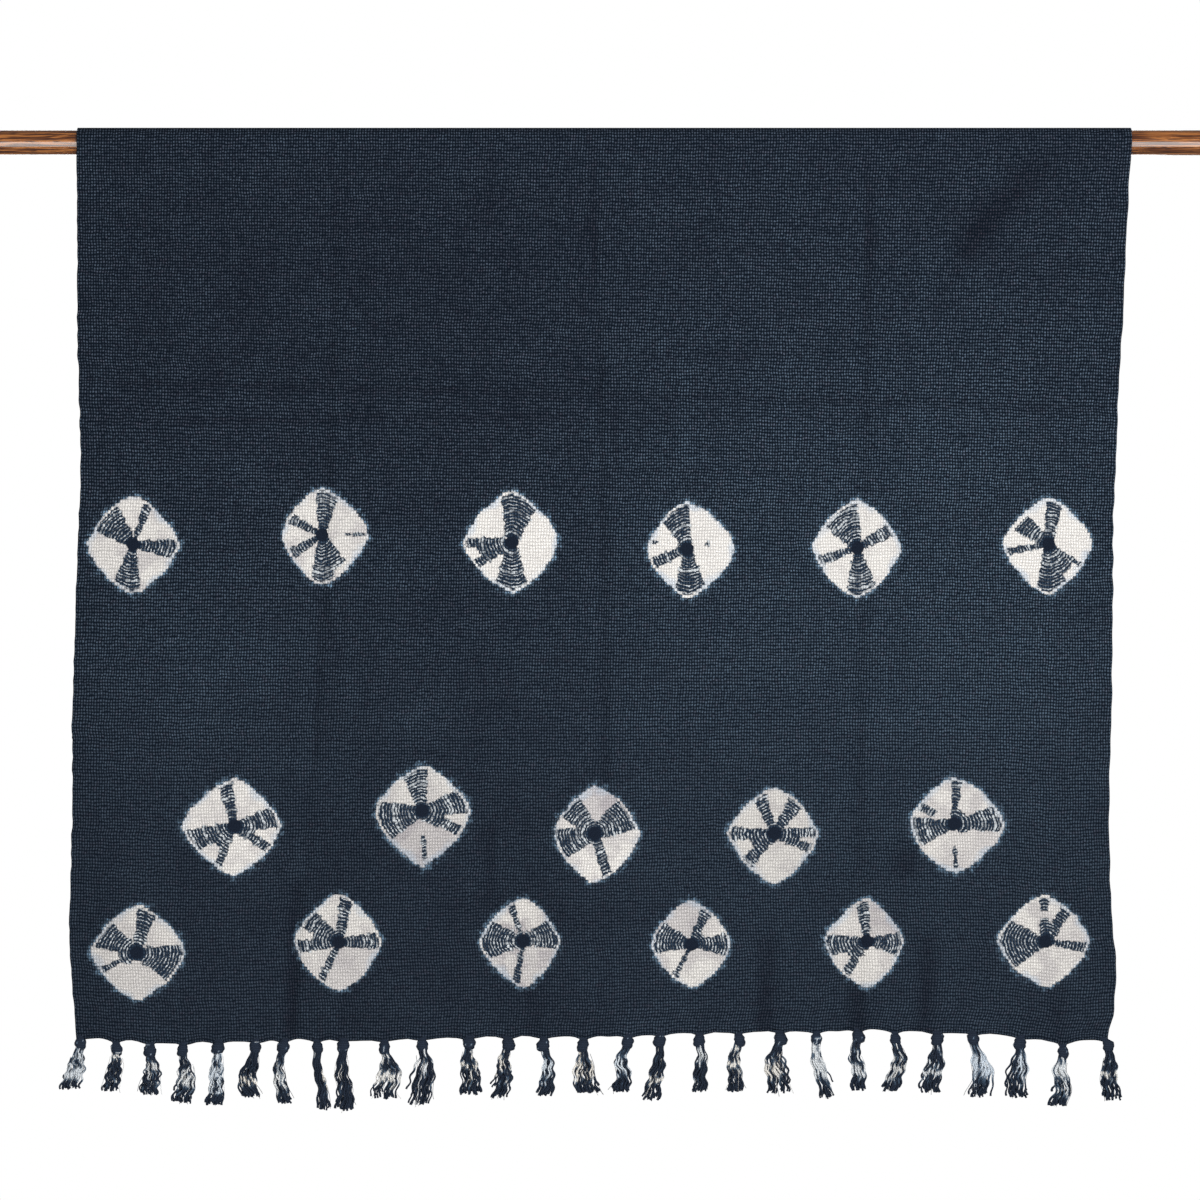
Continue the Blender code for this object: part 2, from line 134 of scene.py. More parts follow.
Fold = namedtuple("Fold", "x_top drop_top x_low drop_low half_width height")
FRONT_FOLDS = thousandths(
    Fold,
    # The cross crease, and the pucker at the corner
    (-640, 289, 640, 323, 14, -2.6), (537, 20, 400, 200, 30, -4),
    # Soft bulges of the panels
    (-490, 150, -500, 760, 110, 5), (-170, 120, -180, 600, 110, 4), (150, 100, 150, 640, 110, 5),
    (480, 400, 500, 800, 120, 7),
    # Curls and bends of the side edges
    (-640, 720, -640, 1080, 30, -6), (612, 260, 612, 640, 30, -3), (612, 730, 612, 1000, 30, -9),
    # Waves and troughs at the hem, and a dip in the left crease
    (-560, 900, -575, 1080, 55, 6), (-336, 520, -340, 760, 45, -2), (-366, 860, -379, 1080, 50, -8),
    (-255, 840, -250, 1080, 70, 7), (-130, 870, -135, 1080, 45, -6), (-30, 800, -20, 1080, 60, 6),
    (85, 880, 80, 1080, 45, -4), (200, 930, 194, 1080, 35, -6), (250, 860, 248, 1080, 40, 5),
    (305, 900, 302, 1080, 35, -6), (430, 840, 440, 1080, 80, 8),
)
BACK_FOLDS = thousandths(
    Fold,
    # Soft bulges of the panels
    (-480, 120, -490, 500, 110, 5), (-160, 150, -170, 560, 100, 5), (160, 120, 150, 600, 110, 6),
    (480, 150, 470, 560, 110, 5),
    # Curls of the side edges
    (-632, 250, -630, 645, 28, 5), (606, 250, 594, 645, 30, 8),
    # Waves and a trough at the hem
    (-400, 420, -410, 645, 60, 7), (-262, 500, -270, 645, 40, -3), (-70, 450, -80, 645, 60, 6),
    (250, 430, 255, 645, 60, 7), (520, 470, 530, 645, 50, 6),
)

# Small folds and dents that only the looks have
FRONT_DETAILS = thousandths(
    Fold,
    # Along the centre crease
    (-16, -60, -12, 150, 4.5, -1.8), (-12, 120, -8, 300, 3.5, -0.8), (-8, 270, -1, 540, 4.5, -1.2),
    (-1, 540, 0, 780, 5, -1.3),
    # Along the left crease, with its double fold
    (-322, 30, -338, 530, 6, -0.9), (-344, 540, -346, 740, 5, -1.2), (-338, 545, -324, 630, 5.5, -1.3),
    (-324, 630, -332, 720, 5.5, -1.2), (-372, 900, -379, 1070, 8, -2.6),
    # Along the right crease
    (318, -40, 316, 420, 5, -1.7), (315, 420, 306, 880, 6.5, -1.4),
    # Across the cloth
    (-600, 290, 600, 322, 3.8, -1.4), (-541, 336, -54, 331, 4.5, -1.4), (40, 262, 430, 244, 4.5, -1.4),
    # Short folds under the cross crease
    (97, 262, 97, 384, 8, 1.6), (-24, 358, -12, 316, 7, 1.5), (13, 328, 13, 395, 7, -1.4),
    # Gathers above the hem, and a dent
    (-138, 829, -140, 913, 10, -2.4), (196, 965, 192, 1090, 11, -3.4), (306, 965, 304, 1090, 11, -3.4),
    (389, 965, 384, 1090, 11, -3.2), (-309, 1000, -309, 1070, 8, -1.8), (-86, 1015, -85, 1070, 8, -1.6),
    (544, 1000, 545, 1080, 8, -1.8), (362, 865, 364, 880, 12, -2),
    # From the corner
    (538, 0, 440, 122, 21, -3.6), (436, 125, 396, 215, 7, -1.2),
)
BACK_DETAILS = thousandths(
    Fold,
    # Along the three creases, and across
    (-15, 20, -5, 640, 6, -1.8), (-322, 30, -330, 640, 6.5, -1.6), (318, 30, 316, 640, 6.5, -1.6),
    (-620, 300, 600, 292, 6, -1.6),
)

# Each tassel's place along the hem, how far its knot hangs below the hem, its sways, length and spread
Tassel = namedtuple("Tassel", "x knot_drop sway_upper sway_lower sway_end length spread")
TASSELS = thousandths(
    Tassel,
    (-630.5, 3, -5, -6, -13, 51, 11), (-586.7, 7, 0, -5, -8, 47, 9), (-546.9, 7, 4, 2, -2, 49, 10),
    (-507.6, 5, 4, 5, -4, 60, 12), (-464.9, 3, -1, -2, -5, 65, 9), (-420.3, 3, -4, -11, -7, 57, 10),
    (-386.5, 4, -7, -5, 4, 64, 6), (-345.5, 5, 0, 5, 7, 71, 6), (-314.2, 4, -2, 1, 5, 73, 9),
    (-264.7, 6, 7, 6, 0, 58, 14), (-218.9, 4, 5, 1, -5, 67, 13), (-162.9, 3, -2, 3, 4, 58, 11),
    (-116.4, 5, -6, -2, -12, 61, 9), (-73, 6, 6, 4, 2, 57, 8), (-25.9, 7, 1, 2, 6, 54, 13),
    (28.1, 5, -9, -5, -9, 55, 9), (66.9, 4, -1, -5, -12, 67, 9), (114, 5, 5, 0, 0, 58, 8),
    (161.6, 6, -6, -5, -2, 58, 9), (211.3, 5, -7, -5, -1, 63, 14), (255.1, 6, -1, 6, 14, 67, 8),
    (305.3, 4, -4, 2, 0, 61, 9), (349.7, 6, 7, 1, -4, 58, 8), (400.3, 5, -1, -6, -9, 60, 10),
    (442.8, 3, 8, 13, 8, 66, 12), (499.6, 4, 1, -6, -2, 61, 12), (551.7, 8, -5, 0, -7, 60, 10),
    (606, 2, 3, 0, 4, 62, 11),
)
BACK_FRINGE_SHARE = 0.98
BACK_FRINGE_SHIFT = -0.031
BACK_MOTIF_SHIFT = -8.0  # millimetres

# How the dye missed each tassel's yarns: the share that is mottled, a pale band's place and half length
# as shares of the yarn, how many yarns the band crosses, and how blue (1) or cream (0) the pale parts are
Dyeing = namedtuple("Dyeing", "mottled band_at band_half band_share blue")
TASSEL_DYES = thousandths(
    Dyeing,
    (600, 720, 140, 600, 700), (220, 120, 70, 900, 300), (400, 300, 120, 600, 500),
    (340, 580, 160, 600, 500), (620, 500, 50, 1000, 800), (100, 680, 90, 900, 100),
    (400, 620, 200, 600, 500), (100, 500, 300, 250, 200), (80, 400, 220, 200, 200),
    (340, 580, 120, 800, 300), (160, 350, 150, 300, 600), (200, 420, 70, 800, 200),
    (240, 350, 150, 500, 200), (340, 420, 200, 600, 800), (340, 500, 250, 500, 100),
    (220, 450, 250, 400, 800), (140, 680, 70, 900, 200), (180, 220, 200, 700, 600),
    (400, 460, 70, 900, 200), (300, 600, 200, 500, 200), (500, 500, 250, 600, 600),
    (360, 620, 150, 700, 600), (400, 580, 80, 800, 400), (300, 640, 70, 900, 600),
    (460, 450, 280, 800, 900), (240, 400, 300, 400, 900), (420, 320, 200, 700, 600),
    (120, 550, 70, 700, 300),
)

# A knot's rings from the hem down: the height above its middle, half its width and half its depth
KnotRing = namedtuple("KnotRing", "rise half_width half_depth")
KNOT_RINGS = thousandths(
    KnotRing,
    (10, 7, 1.3), (8.4, 5.6, 1.9), (6.8, 5, 3.2), (5.6, 5.5, 4.4), (3.6, 6.8, 5.6), (1, 7.3, 6),
    (-1.8, 7.2, 6), (-4.4, 6.7, 5.5), (-6.4, 5.8, 4.7), (-7.6, 4.4, 3.6), (-8.3, 2.5, 2), (-8.5, 0.8, 0.6),
)
KNOT_POINTS = 20
KNOT_WRAPS = 3
KNOT_GROOVE = 0.08
KNOT_LUMP = 0.07
KNOT_PALE_SHARE = 0.22
YARNS = 26
YARN_SIDES = 4
YARN_STEPS = 24
YARN_RADIUS = 0.0013
NECK_HALF = 0.0046
DYE_PATCHES = 9  # along a yarn
HAIRS = 5
HAIR_RADIUS = 0.00035

# Tied-off diamonds on the front. x and drop are the dot's place, left, right, top and bottom how far the
# undyed diamond reaches from it, all in millimetres; white is its brightness, mauve how much of it greys
# in patches, and grey_angle and grey_lobe the direction and strength of its one greyed lobe
Motif = namedtuple("Motif", "x drop left right top bottom white mauve grey_angle grey_lobe spokes")
# A dyed spoke: its direction in degrees anticlockwise from the right, half its width in degrees at the
# rim, and where it starts and ends as shares of the way to the rim
Spoke = namedtuple("Spoke", "angle half_width start end", defaults=(0.0, 0.955))


def motif_table(*rows):
    return tuple(Motif(*numbers, tuple(Spoke(*spoke) for spoke in spokes)) for *numbers, spokes in rows)


MOTIFS = motif_table(
    (-566.8, 484.5, 54.9, 54.9, 57.3, 58.5, 0.92, 0.4, 215, 0.15,
     ((136, 24), (69, 6), (-7, 13), (-99, 17.5))),
    (-340, 473.1, 47.8, 55.4, 55.5, 59.1, 0.92, 0.4, 0, 0.1,
     ((82, 15), (152, 8), (212, 8), (-88, 15), (-62, 13, 0, 0.84), (1, 1.8, 0.52, 0.94))),
    (-111.2, 481.9, 57, 54.6, 60.7, 59.9, 1, 0.1, 0, 0,
     ((79, 25), (196, 22, 0, 0.78), (181, 6), (212, 7), (-91, 21))),
    (99.5, 489.9, 48.2, 56.7, 56, 57.9, 1, 0.1, 0, 0,
     ((110, 23), (203, 10), (-85, 22), (14, 3, 0.42, 0.53), (169, 4, 0.8, 0.94))),
    (304.3, 488.7, 54, 52.1, 57.3, 59.1, 0.98, 0.15, 0, 0,
     ((119, 27), (29, 10), (199, 7), (-84, 19))),
    (533.9, 484.5, 54.5, 51.6, 55.4, 59.7, 1, 0.1, 0, 0,
     ((82, 11), (142, 16, 0, 0.88), (190, 5), (-85, 20), (-58, 18, 0, 0.8), (-33, 4, 0.3))),
    (-445, 823.2, 62.1, 54.9, 55.8, 58.7, 0.92, 0.3, 140, 0.15,
     ((102, 10), (13, 16), (-10, 28, 0, 0.5), (-34, 8), (200, 15), (217, 22, 0, 0.6), (247, 6))),
    (-219.4, 804.7, 55, 57.2, 53.1, 65.7, 0.81, 0.3, 272, 0.75,
     ((101, 18), (14, 17), (-10, 30, 0, 0.52), (-29, 7), (182, 14), (208, 15), (-87, 2.4, 0.45, 0.92))),
    (-11.5, 832.4, 49.4, 53.1, 56.7, 57.9, 0.92, 0.4, 92, 0.8,
     ((133, 21), (32, 26), (197, 25), (-73, 8))),
    (204.4, 832.4, 55.5, 51.9, 54.3, 59.1, 0.78, 0.3, 0, 0,
     ((112, 10), (55, 12), (2, 7), (-23, 7), (-10, 22, 0, 0.62), (203, 30, 0, 0.58), (180, 9), (227, 10))),
    (420, 820.1, 52.8, 59.9, 55.2, 59.3, 0.86, 0.4, 300, 0.35,
     ((86, 6), (7, 17), (25, 34, 0, 0.36), (193, 21), (153, 6, 0.52), (-88, 2.2, 0.45, 0.92))),
    (-562.1, 975.1, 54.8, 57.4, 55.8, 56.3, 0.8, 0.3, 270, 0.3,
     ((76, 13), (151, 22), (180, 30, 0, 0.4), (207, 5), (-17, 27))),
    (-319, 963.2, 54.3, 49.4, 57.2, 57.4, 0.86, 0.3, 300, 0.55,
     ((80, 9), (143, 16), (165, 26, 0, 0.64), (187, 9), (3, 13), (244, 6))),
    (-97.7, 961.5, 52.5, 44, 50.7, 55.5, 0.84, 0.7, 290, 0.5,
     ((109, 5), (14, 27), (178, 29), (260, 5))),
    (104.7, 966.1, 48.6, 46.7, 52.8, 50.9, 0.85, 0.4, 112, 0.7,
     ((66, 9), (30, 30, 0, 0.45), (1, 19), (167, 26), (242, 5))),
    (316.6, 962.1, 53.1, 42.2, 50, 56.1, 0.85, 0.3, 55, 0.7,
     ((98, 9), (-5, 21), (186, 15), (212, 26, 0, 0.6), (235, 7))),
    (530, 962.1, 57.9, 53.1, 54.9, 53.7, 0.85, 0.4, 15, 0.3,
     ((92, 6, 0, 0.52), (92, 6, 0.68), (56, 9), (73, 28, 0, 0.46), (-9, 7), (169, 20), (203, 17))),
)
SPOKE_SLOTS = 8
END_GROUPS = 3  # attributes of three spoke ends each
MOTIF_REACH = 0.090  # how far a motif and its halo can reach from its dot, sideways and up together
NOWHERE = 1.0

# Where the cloth's tone is lighter or darker: a soft patch's place, half its size, and how much it
# lightens.
# The wide patches are partly uneven dye and partly painted light and shade, lighter to the right and
# darker at the top. The thin dark band along the cross crease, and the small dark spots at the tops of
# the centre and right creases and in a dent, are painted shade. The narrow light strips along the centre
# and left creases are painted light that softens their shade.
Patch = namedtuple("Patch", "x drop half_x half_drop change")
FRONT_TONE_AND_SHADE_PATCHES = thousandths(
    Patch,
    (420, 480, 260, 360, 300), (500, 660, 120, 120, 140), (-500, 640, 150, 150, 220),
    (-430, 390, 30, 30, 100), (-265, 515, 40, 40, 80), (-235, 700, 35, 40, 100), (120, 600, 180, 300, 120),
    (-130, 960, 150, 80, -40), (400, 100, 450, 250, -160), (-350, 150, 350, 200, -120),
    (-7, 250, 13, 130, 80), (-328, 230, 13, 200, 70), (100, 318, 450, 22, -50), (-20, 108, 10, 20, -200),
    (325, 112, 10, 28, -200), (363, 868, 12, 16, -200),
)
# The left half is darker and the right half lighter: partly the dye's tone and partly painted shade and
# light, as if the halves were turned differently to the light
LEFT_TONE_AND_SHADE = 0.34
RIGHT_TONE_AND_LIGHT = 0.42
TONE_SHIFT = 0.10  # over how wide a band beside the centre crease the two halves' tones meet
HEM_SHADE = 0.02
CREASE_SHADE = 100.0  # painted shade: how much darker the cloth is painted for each metre that a small fold dips
HEM_SHADE_REACH = 0.055
BACK_TONE = 0.36
BACK_TONE_SWING = 0.10
BACK_TONE_SIZE = 0.55
ROD_TONE = 0.30  # where the cloth lies on the rod, fading over the next length down
ROD_TONE_FADE = 0.03


def smoothstep(value, low, high):
    share = np.clip((value - low) / (high - low), 0.0, 1.0)
    return share * share * (3.0 - 2.0 * share)


def along(table, value, given, wanted):
    """The wanted column at these values of the given one, on straight lines between the table's rows."""
    return np.interp(value, [getattr(row, given) for row in table], [getattr(row, wanted) for row in table])


def fold_height(fold, x, drop):
    """How far this fold lifts the cloth at each place: full on its line, and fading to each side of it."""
    run_x = fold.x_low - fold.x_top
    run_drop = fold.drop_low - fold.drop_top
    share = ((x - fold.x_top) * run_x + (drop - fold.drop_top) * run_drop) / (run_x**2 + run_drop**2)
    share = np.clip(share, 0.0, 1.0)
    away = np.hypot(x - fold.x_top - share * run_x, drop - fold.drop_top - share * run_drop)
    return fold.height * np.exp(-((away / fold.half_width) ** 2))


def soft_noise(x, drop, size, seed):
    """A smooth random height between about -1 and 1, from a few long waves of different directions."""
    chance = np.random.default_rng(seed)
    total = np.zeros(np.broadcast(x, drop).shape)
    for turn in np.linspace(0.0, math.pi, 7, endpoint=False):
        turn += chance.uniform(-0.2, 0.2)
        pitch = size * chance.uniform(0.7, 1.5)
        shift = chance.uniform(0.0, 2 * math.pi)
        total += np.sin((x * math.cos(turn) + drop * math.sin(turn)) * 2 * math.pi / pitch + shift)
    return total / 4


def column_places():
    """Where the grid's columns are, counted in panels from the left edge: closest beside the creases."""
    step = np.arange(PANEL_COLUMNS) / PANEL_COLUMNS
    crowded = step - PANEL_CROWDING * np.sin(2 * math.pi * step) / (2 * math.pi)
    return np.append(np.concatenate([panel + crowded for panel in range(4)]), 4.0)


COLUMN_PLACES = column_places()


def front_rows():
    """The grid's rows on the front, from the rod to the hem: closest beside the cross crease."""
    drop = np.linspace(0.0, FRONT_DROP, 2000)
    closeness = 1.0 + ROW_CROWDING * np.exp(-(((drop - CROSS_CREASE_DROP) / ROW_CROWD_HALF) ** 2))
    count = np.cumsum(closeness)
    return np.interp(np.linspace(count[0], count[-1], FRONT_ROWS), count, drop)


DROP_PARTS = "side full_drop left_edge right_edge hem creases folds details tassels"


class Drop(namedtuple("Drop", DROP_PARTS)):
    """One hanging side of the cloth: its outline, creases and folds."""

    def hem_pull(self, x):
        """How far the knots draw the cloth's edge down, and how it arches up between them."""
        away = np.min([np.abs(x - tassel.x) for tassel in self.tassels], axis=0)
        pulled = STRIP_PULL * np.exp(-((away / KNOT_PULL_HALF) ** 2))
        arched = STRIP_ARCH * (1.0 - np.exp(-((away / KNOT_ARCH_HALF) ** 2)))
        arched = arched * (1.0 + 0.6 * soft_noise(x, 0.0, 0.09, SEED + 11))
        return pulled - arched + HEM_WAVE * soft_noise(x, 0.0, EDGE_WAVE_PITCH, SEED + 13)

    def crease_x(self, crease, drop):
        places = (crease.x_rod, crease.x_middle, crease.x_hem)
        return np.interp(drop, (0.0, self.full_drop / 2, self.full_drop), places)

    def line(self, row):
        """x and drop of every point of the cloth's grid on the row at this drop."""
        left_wave = EDGE_WAVE * soft_noise(0.0, row, EDGE_WAVE_PITCH, SEED + 21)
        right_wave = EDGE_WAVE * soft_noise(0.0, row, EDGE_WAVE_PITCH, SEED + 22)
        anchors = [along(self.left_edge, row, "drop", "x") + left_wave]
        anchors += [self.crease_x(crease, row) for crease in self.creases]
        anchors += [along(self.right_edge, row, "drop", "x") + right_wave]
        x = np.interp(COLUMN_PLACES, range(len(anchors)), anchors)
        drop = row + (along(self.hem, x, "x", "drop") - self.full_drop) * (row / self.full_drop) ** 3
        if self.side == FRONT:
            nearness = np.maximum(0.0, 1.0 - np.abs(row - CROSS_CREASE_DROP) / CROSS_CREASE_REACH)
            drop = drop + CROSS_CREASE_SLOPE * x * nearness
        drop = drop + self.hem_pull(x) * smoothstep(row, self.full_drop - HEM_REACH, self.full_drop)
        return x, drop

    def out(self, x, drop):
        """How far the cloth's middle is from the rod's axis, front to back."""
        height = sum(fold_height(fold, x, drop) for fold in self.folds)
        for crease in self.creases:
            away = (x - self.crease_x(crease, drop)) / (CREASE_HALF_WIDTH / 2)
            height = height + crease.height * np.exp(-away * away)
        height = height + sum(fold_height(fold, x, drop) for fold in self.details)
        height = height + 0.0006 * soft_noise(x, drop, 0.085, SEED + self.side)
        return DRAPE_RADIUS + height * smoothstep(drop, FOLDS_START, FOLDS_FULL)


def back_tassels():
    count = len(TASSELS)
    chosen = []
    for i, tassel in enumerate(TASSELS):
        other = TASSELS[(5 * i + 3) % count]
        chosen.append(other._replace(x=BACK_FRINGE_SHIFT - BACK_FRINGE_SHARE * tassel.x))
    return tuple(reversed(chosen))


front_drop = Drop(
    FRONT, FRONT_DROP, FRONT_LEFT_EDGE, FRONT_RIGHT_EDGE, FRONT_HEM, FRONT_CREASES, FRONT_FOLDS,
    FRONT_DETAILS, TASSELS,
)
back_drop = Drop(
    BACK, BACK_DROP, BACK_LEFT_EDGE, BACK_RIGHT_EDGE, BACK_HEM, BACK_CREASES, BACK_FOLDS,
    BACK_DETAILS, back_tassels(),
)


class Nodes:
    """Short calls that build a material's nodes."""

    def __init__(self, name, roughness, specular):
        self.made = bpy.data.materials.new(name)
        self.made.use_nodes = True
        self.tree = self.made.node_tree
        self.shader = self.tree.nodes["Principled BSDF"]
        self.shader.inputs["Roughness"].default_value = roughness
        self.shader.inputs["Specular IOR Level"].default_value = specular

    def node(self, kind, inputs=(), **settings):
        made = self.tree.nodes.new(kind)
        for setting, value in settings.items():
            setattr(made, setting, value)
        for where, value in dict(inputs).items():
            self.feed(made.inputs[where], value)
        return made

    def feed(self, socket, value):
        if isinstance(value, bpy.types.NodeSocket):
            self.tree.links.new(value, socket)
        else:
            socket.default_value = value

    def maths(self, operation, *values, kind="ShaderNodeMath"):
        made = self.node(kind, operation=operation)
        for socket, value in zip(made.inputs, values):
            self.feed(socket, value)
        return made.outputs[0]

    def times(self, one, other):
        return self.maths("MULTIPLY", one, other)

    def plus(self, one, other):
        return self.maths("ADD", one, other)

    def minus(self, value, taken):
        return self.maths("SUBTRACT", value, taken)

    def line(self, value, slope, start):
        """start plus this many times the value."""
        return self.maths("MULTIPLY_ADD", value, slope, start)

    def swing(self, value, width):
        """A value of 0 to 1 as one around 0, this wide in all."""
        return self.line(value, width, -width / 2)

    def vector(self, operation, *values):
        return self.maths(operation, *values, kind="ShaderNodeVectorMath")

    def scale(self, vector, amount):
        return self.node("ShaderNodeVectorMath", {0: vector, "Scale": amount}, operation="SCALE").outputs[0]

    def parts(self, vector):
        return self.node("ShaderNodeSeparateXYZ", {0: vector}).outputs

    def join(self, x, y, z=0.0):
        return self.node("ShaderNodeCombineXYZ", {0: x, 1: y, 2: z}).outputs[0]

    def uv(self, layer):
        return self.node("ShaderNodeUVMap", uv_map=layer).outputs[0]

    def attribute(self, name, output="Fac"):
        return self.node("ShaderNodeAttribute", attribute_name=name).outputs[output]

    def noise(self, vector, size, detail=1.0, output=0):
        """Smooth noise, 0 to 1, whose features are about this size in metres."""
        made = self.node("ShaderNodeTexNoise", {"Vector": vector, "Scale": 1.0 / size, "Detail": detail})
        return made.outputs[output]

    def chance(self, vector):
        return self.node("ShaderNodeTexWhiteNoise", {"Vector": vector}, noise_dimensions="3D").outputs[0]

    def between(self, value, low, high, least=0.0, most=1.0):
        """least below low, most above high, and a smooth step between them."""
        inputs = {"Value": value, 1: low, 2: high, 3: least, 4: most}
        return self.node("ShaderNodeMapRange", inputs, interpolation_type="SMOOTHSTEP").outputs[0]

    def mix(self, share, low, high):
        made = self.node("ShaderNodeMix", data_type="RGBA")
        self.feed(made.inputs[0], share)
        self.feed(made.inputs[6], low)
        self.feed(made.inputs[7], high)
        return made.outputs[2]

    def blend(self, share, low, high):
        made = self.node("ShaderNodeMix", {0: share, 2: low, 3: high}, data_type="FLOAT")
        return made.outputs[0]

    def bump(self, height, strength, distance):
        inputs = {"Height": height, "Strength": strength, "Distance": distance}
        self.feed(self.shader.inputs["Normal"], self.node("ShaderNodeBump", inputs).outputs[0])

    def finish(self, colour):
        self.feed(self.shader.inputs["Base Color"], colour)
        return self.made


# Cloth colours, linear
REDDENED = (1.12, 0.95, 0.95)
# Painted shade at the bottom of the gaps between the threads
PAINTED_GAP_SHADE = (0.0030, 0.0062, 0.0121)
DYE_DARK = (0.0162, 0.0168, 0.0230, 1.0)
DYE_LIGHT = (0.0540, 0.0795, 0.1090, 1.0)
HALO_DYE = (0.120, 0.190, 0.270)
SPOKE_GAP_SHADE = (0.0075, 0.0135, 0.0260)
SPOKE_DYE = (0.0180, 0.0290, 0.0440)
DOT_DYE = (0.0100, 0.0150, 0.0270, 1.0)
ARC_WHITE = (0.62, 0.66, 0.69, 1.0)
WHITE = (0.745, 0.722, 0.694, 1.0)
EDGE_TINT = (0.48, 0.56, 0.66, 1.0)
MAUVE = (0.385, 0.358, 0.385, 1.0)

# Weave: the threads' pitches, how they wander, and how deep the gaps between them look. The gaps are
# painted dark as shade between the threads, and the thread tops are painted light
WARP_PITCH = 0.00330
WEFT_PITCH = 0.00390
WOBBLE_SIZE = 0.022
WOBBLE = 0.0040
FLOAT_SHIFT = 0.22
GAP_ACROSS = 0.10
GAP_UP = 0.16
THREAD_BUMP = (0.9, 0.0009)
THREAD_TONE = 0.06
THREAD_LIGHT = 1.67
# From this far above the hem to this far the weave shows more crisply: what each starts and ends at
CRISPER = (0.12, 0.75)
THREAD_CONTRAST = (0.70, 1.50)
THREAD_SHARPNESS = (1.7, 2.7)
THREAD_GAIN = (0.84, 1.35)
# Uneven dye: size, detail and swing of each of its noises
UNEVEN_DYE = ((0.060, 3.0, 0.40), (0.011, 1.0, 0.36))
CLOTH_ROUGHNESS = 0.92
CLOTH_SPECULAR = 0.08
HALVES = (0.5, 0.5, 0.5)

# Tied diamonds
ARC_PITCH = 0.0037
DOT_RADIUS = 0.0078
ROUNDING = 1.42  # 1 is a diamond with straight sides, 2 an ellipse
RIM_STEPS = 0.60  # how far the rim follows single threads
THIN_NARROWING = 0.60  # a thin spoke's width at the dot as a share of its width at the rim
WIDE_NARROWING = 0.24  # and a wide one's
RIM_FRAY = 0.10
RIM_WAVE = 0.12
SPOKE_FRAY = 0.0040
END_SOFTNESS = 0.02
ARCS_FOLLOW_RIM = 0.048
ARC_DRIFT = 0.9
ARC_WIDTHS = (0.115, 0.34)  # half widths, as shares of the pitch
DOT_SOFTNESS = 0.0006
HALO = (1.16, 0.97)  # where the halo fades out and is full, as shares of the way to the rim
RIM = (1.025, 0.990)


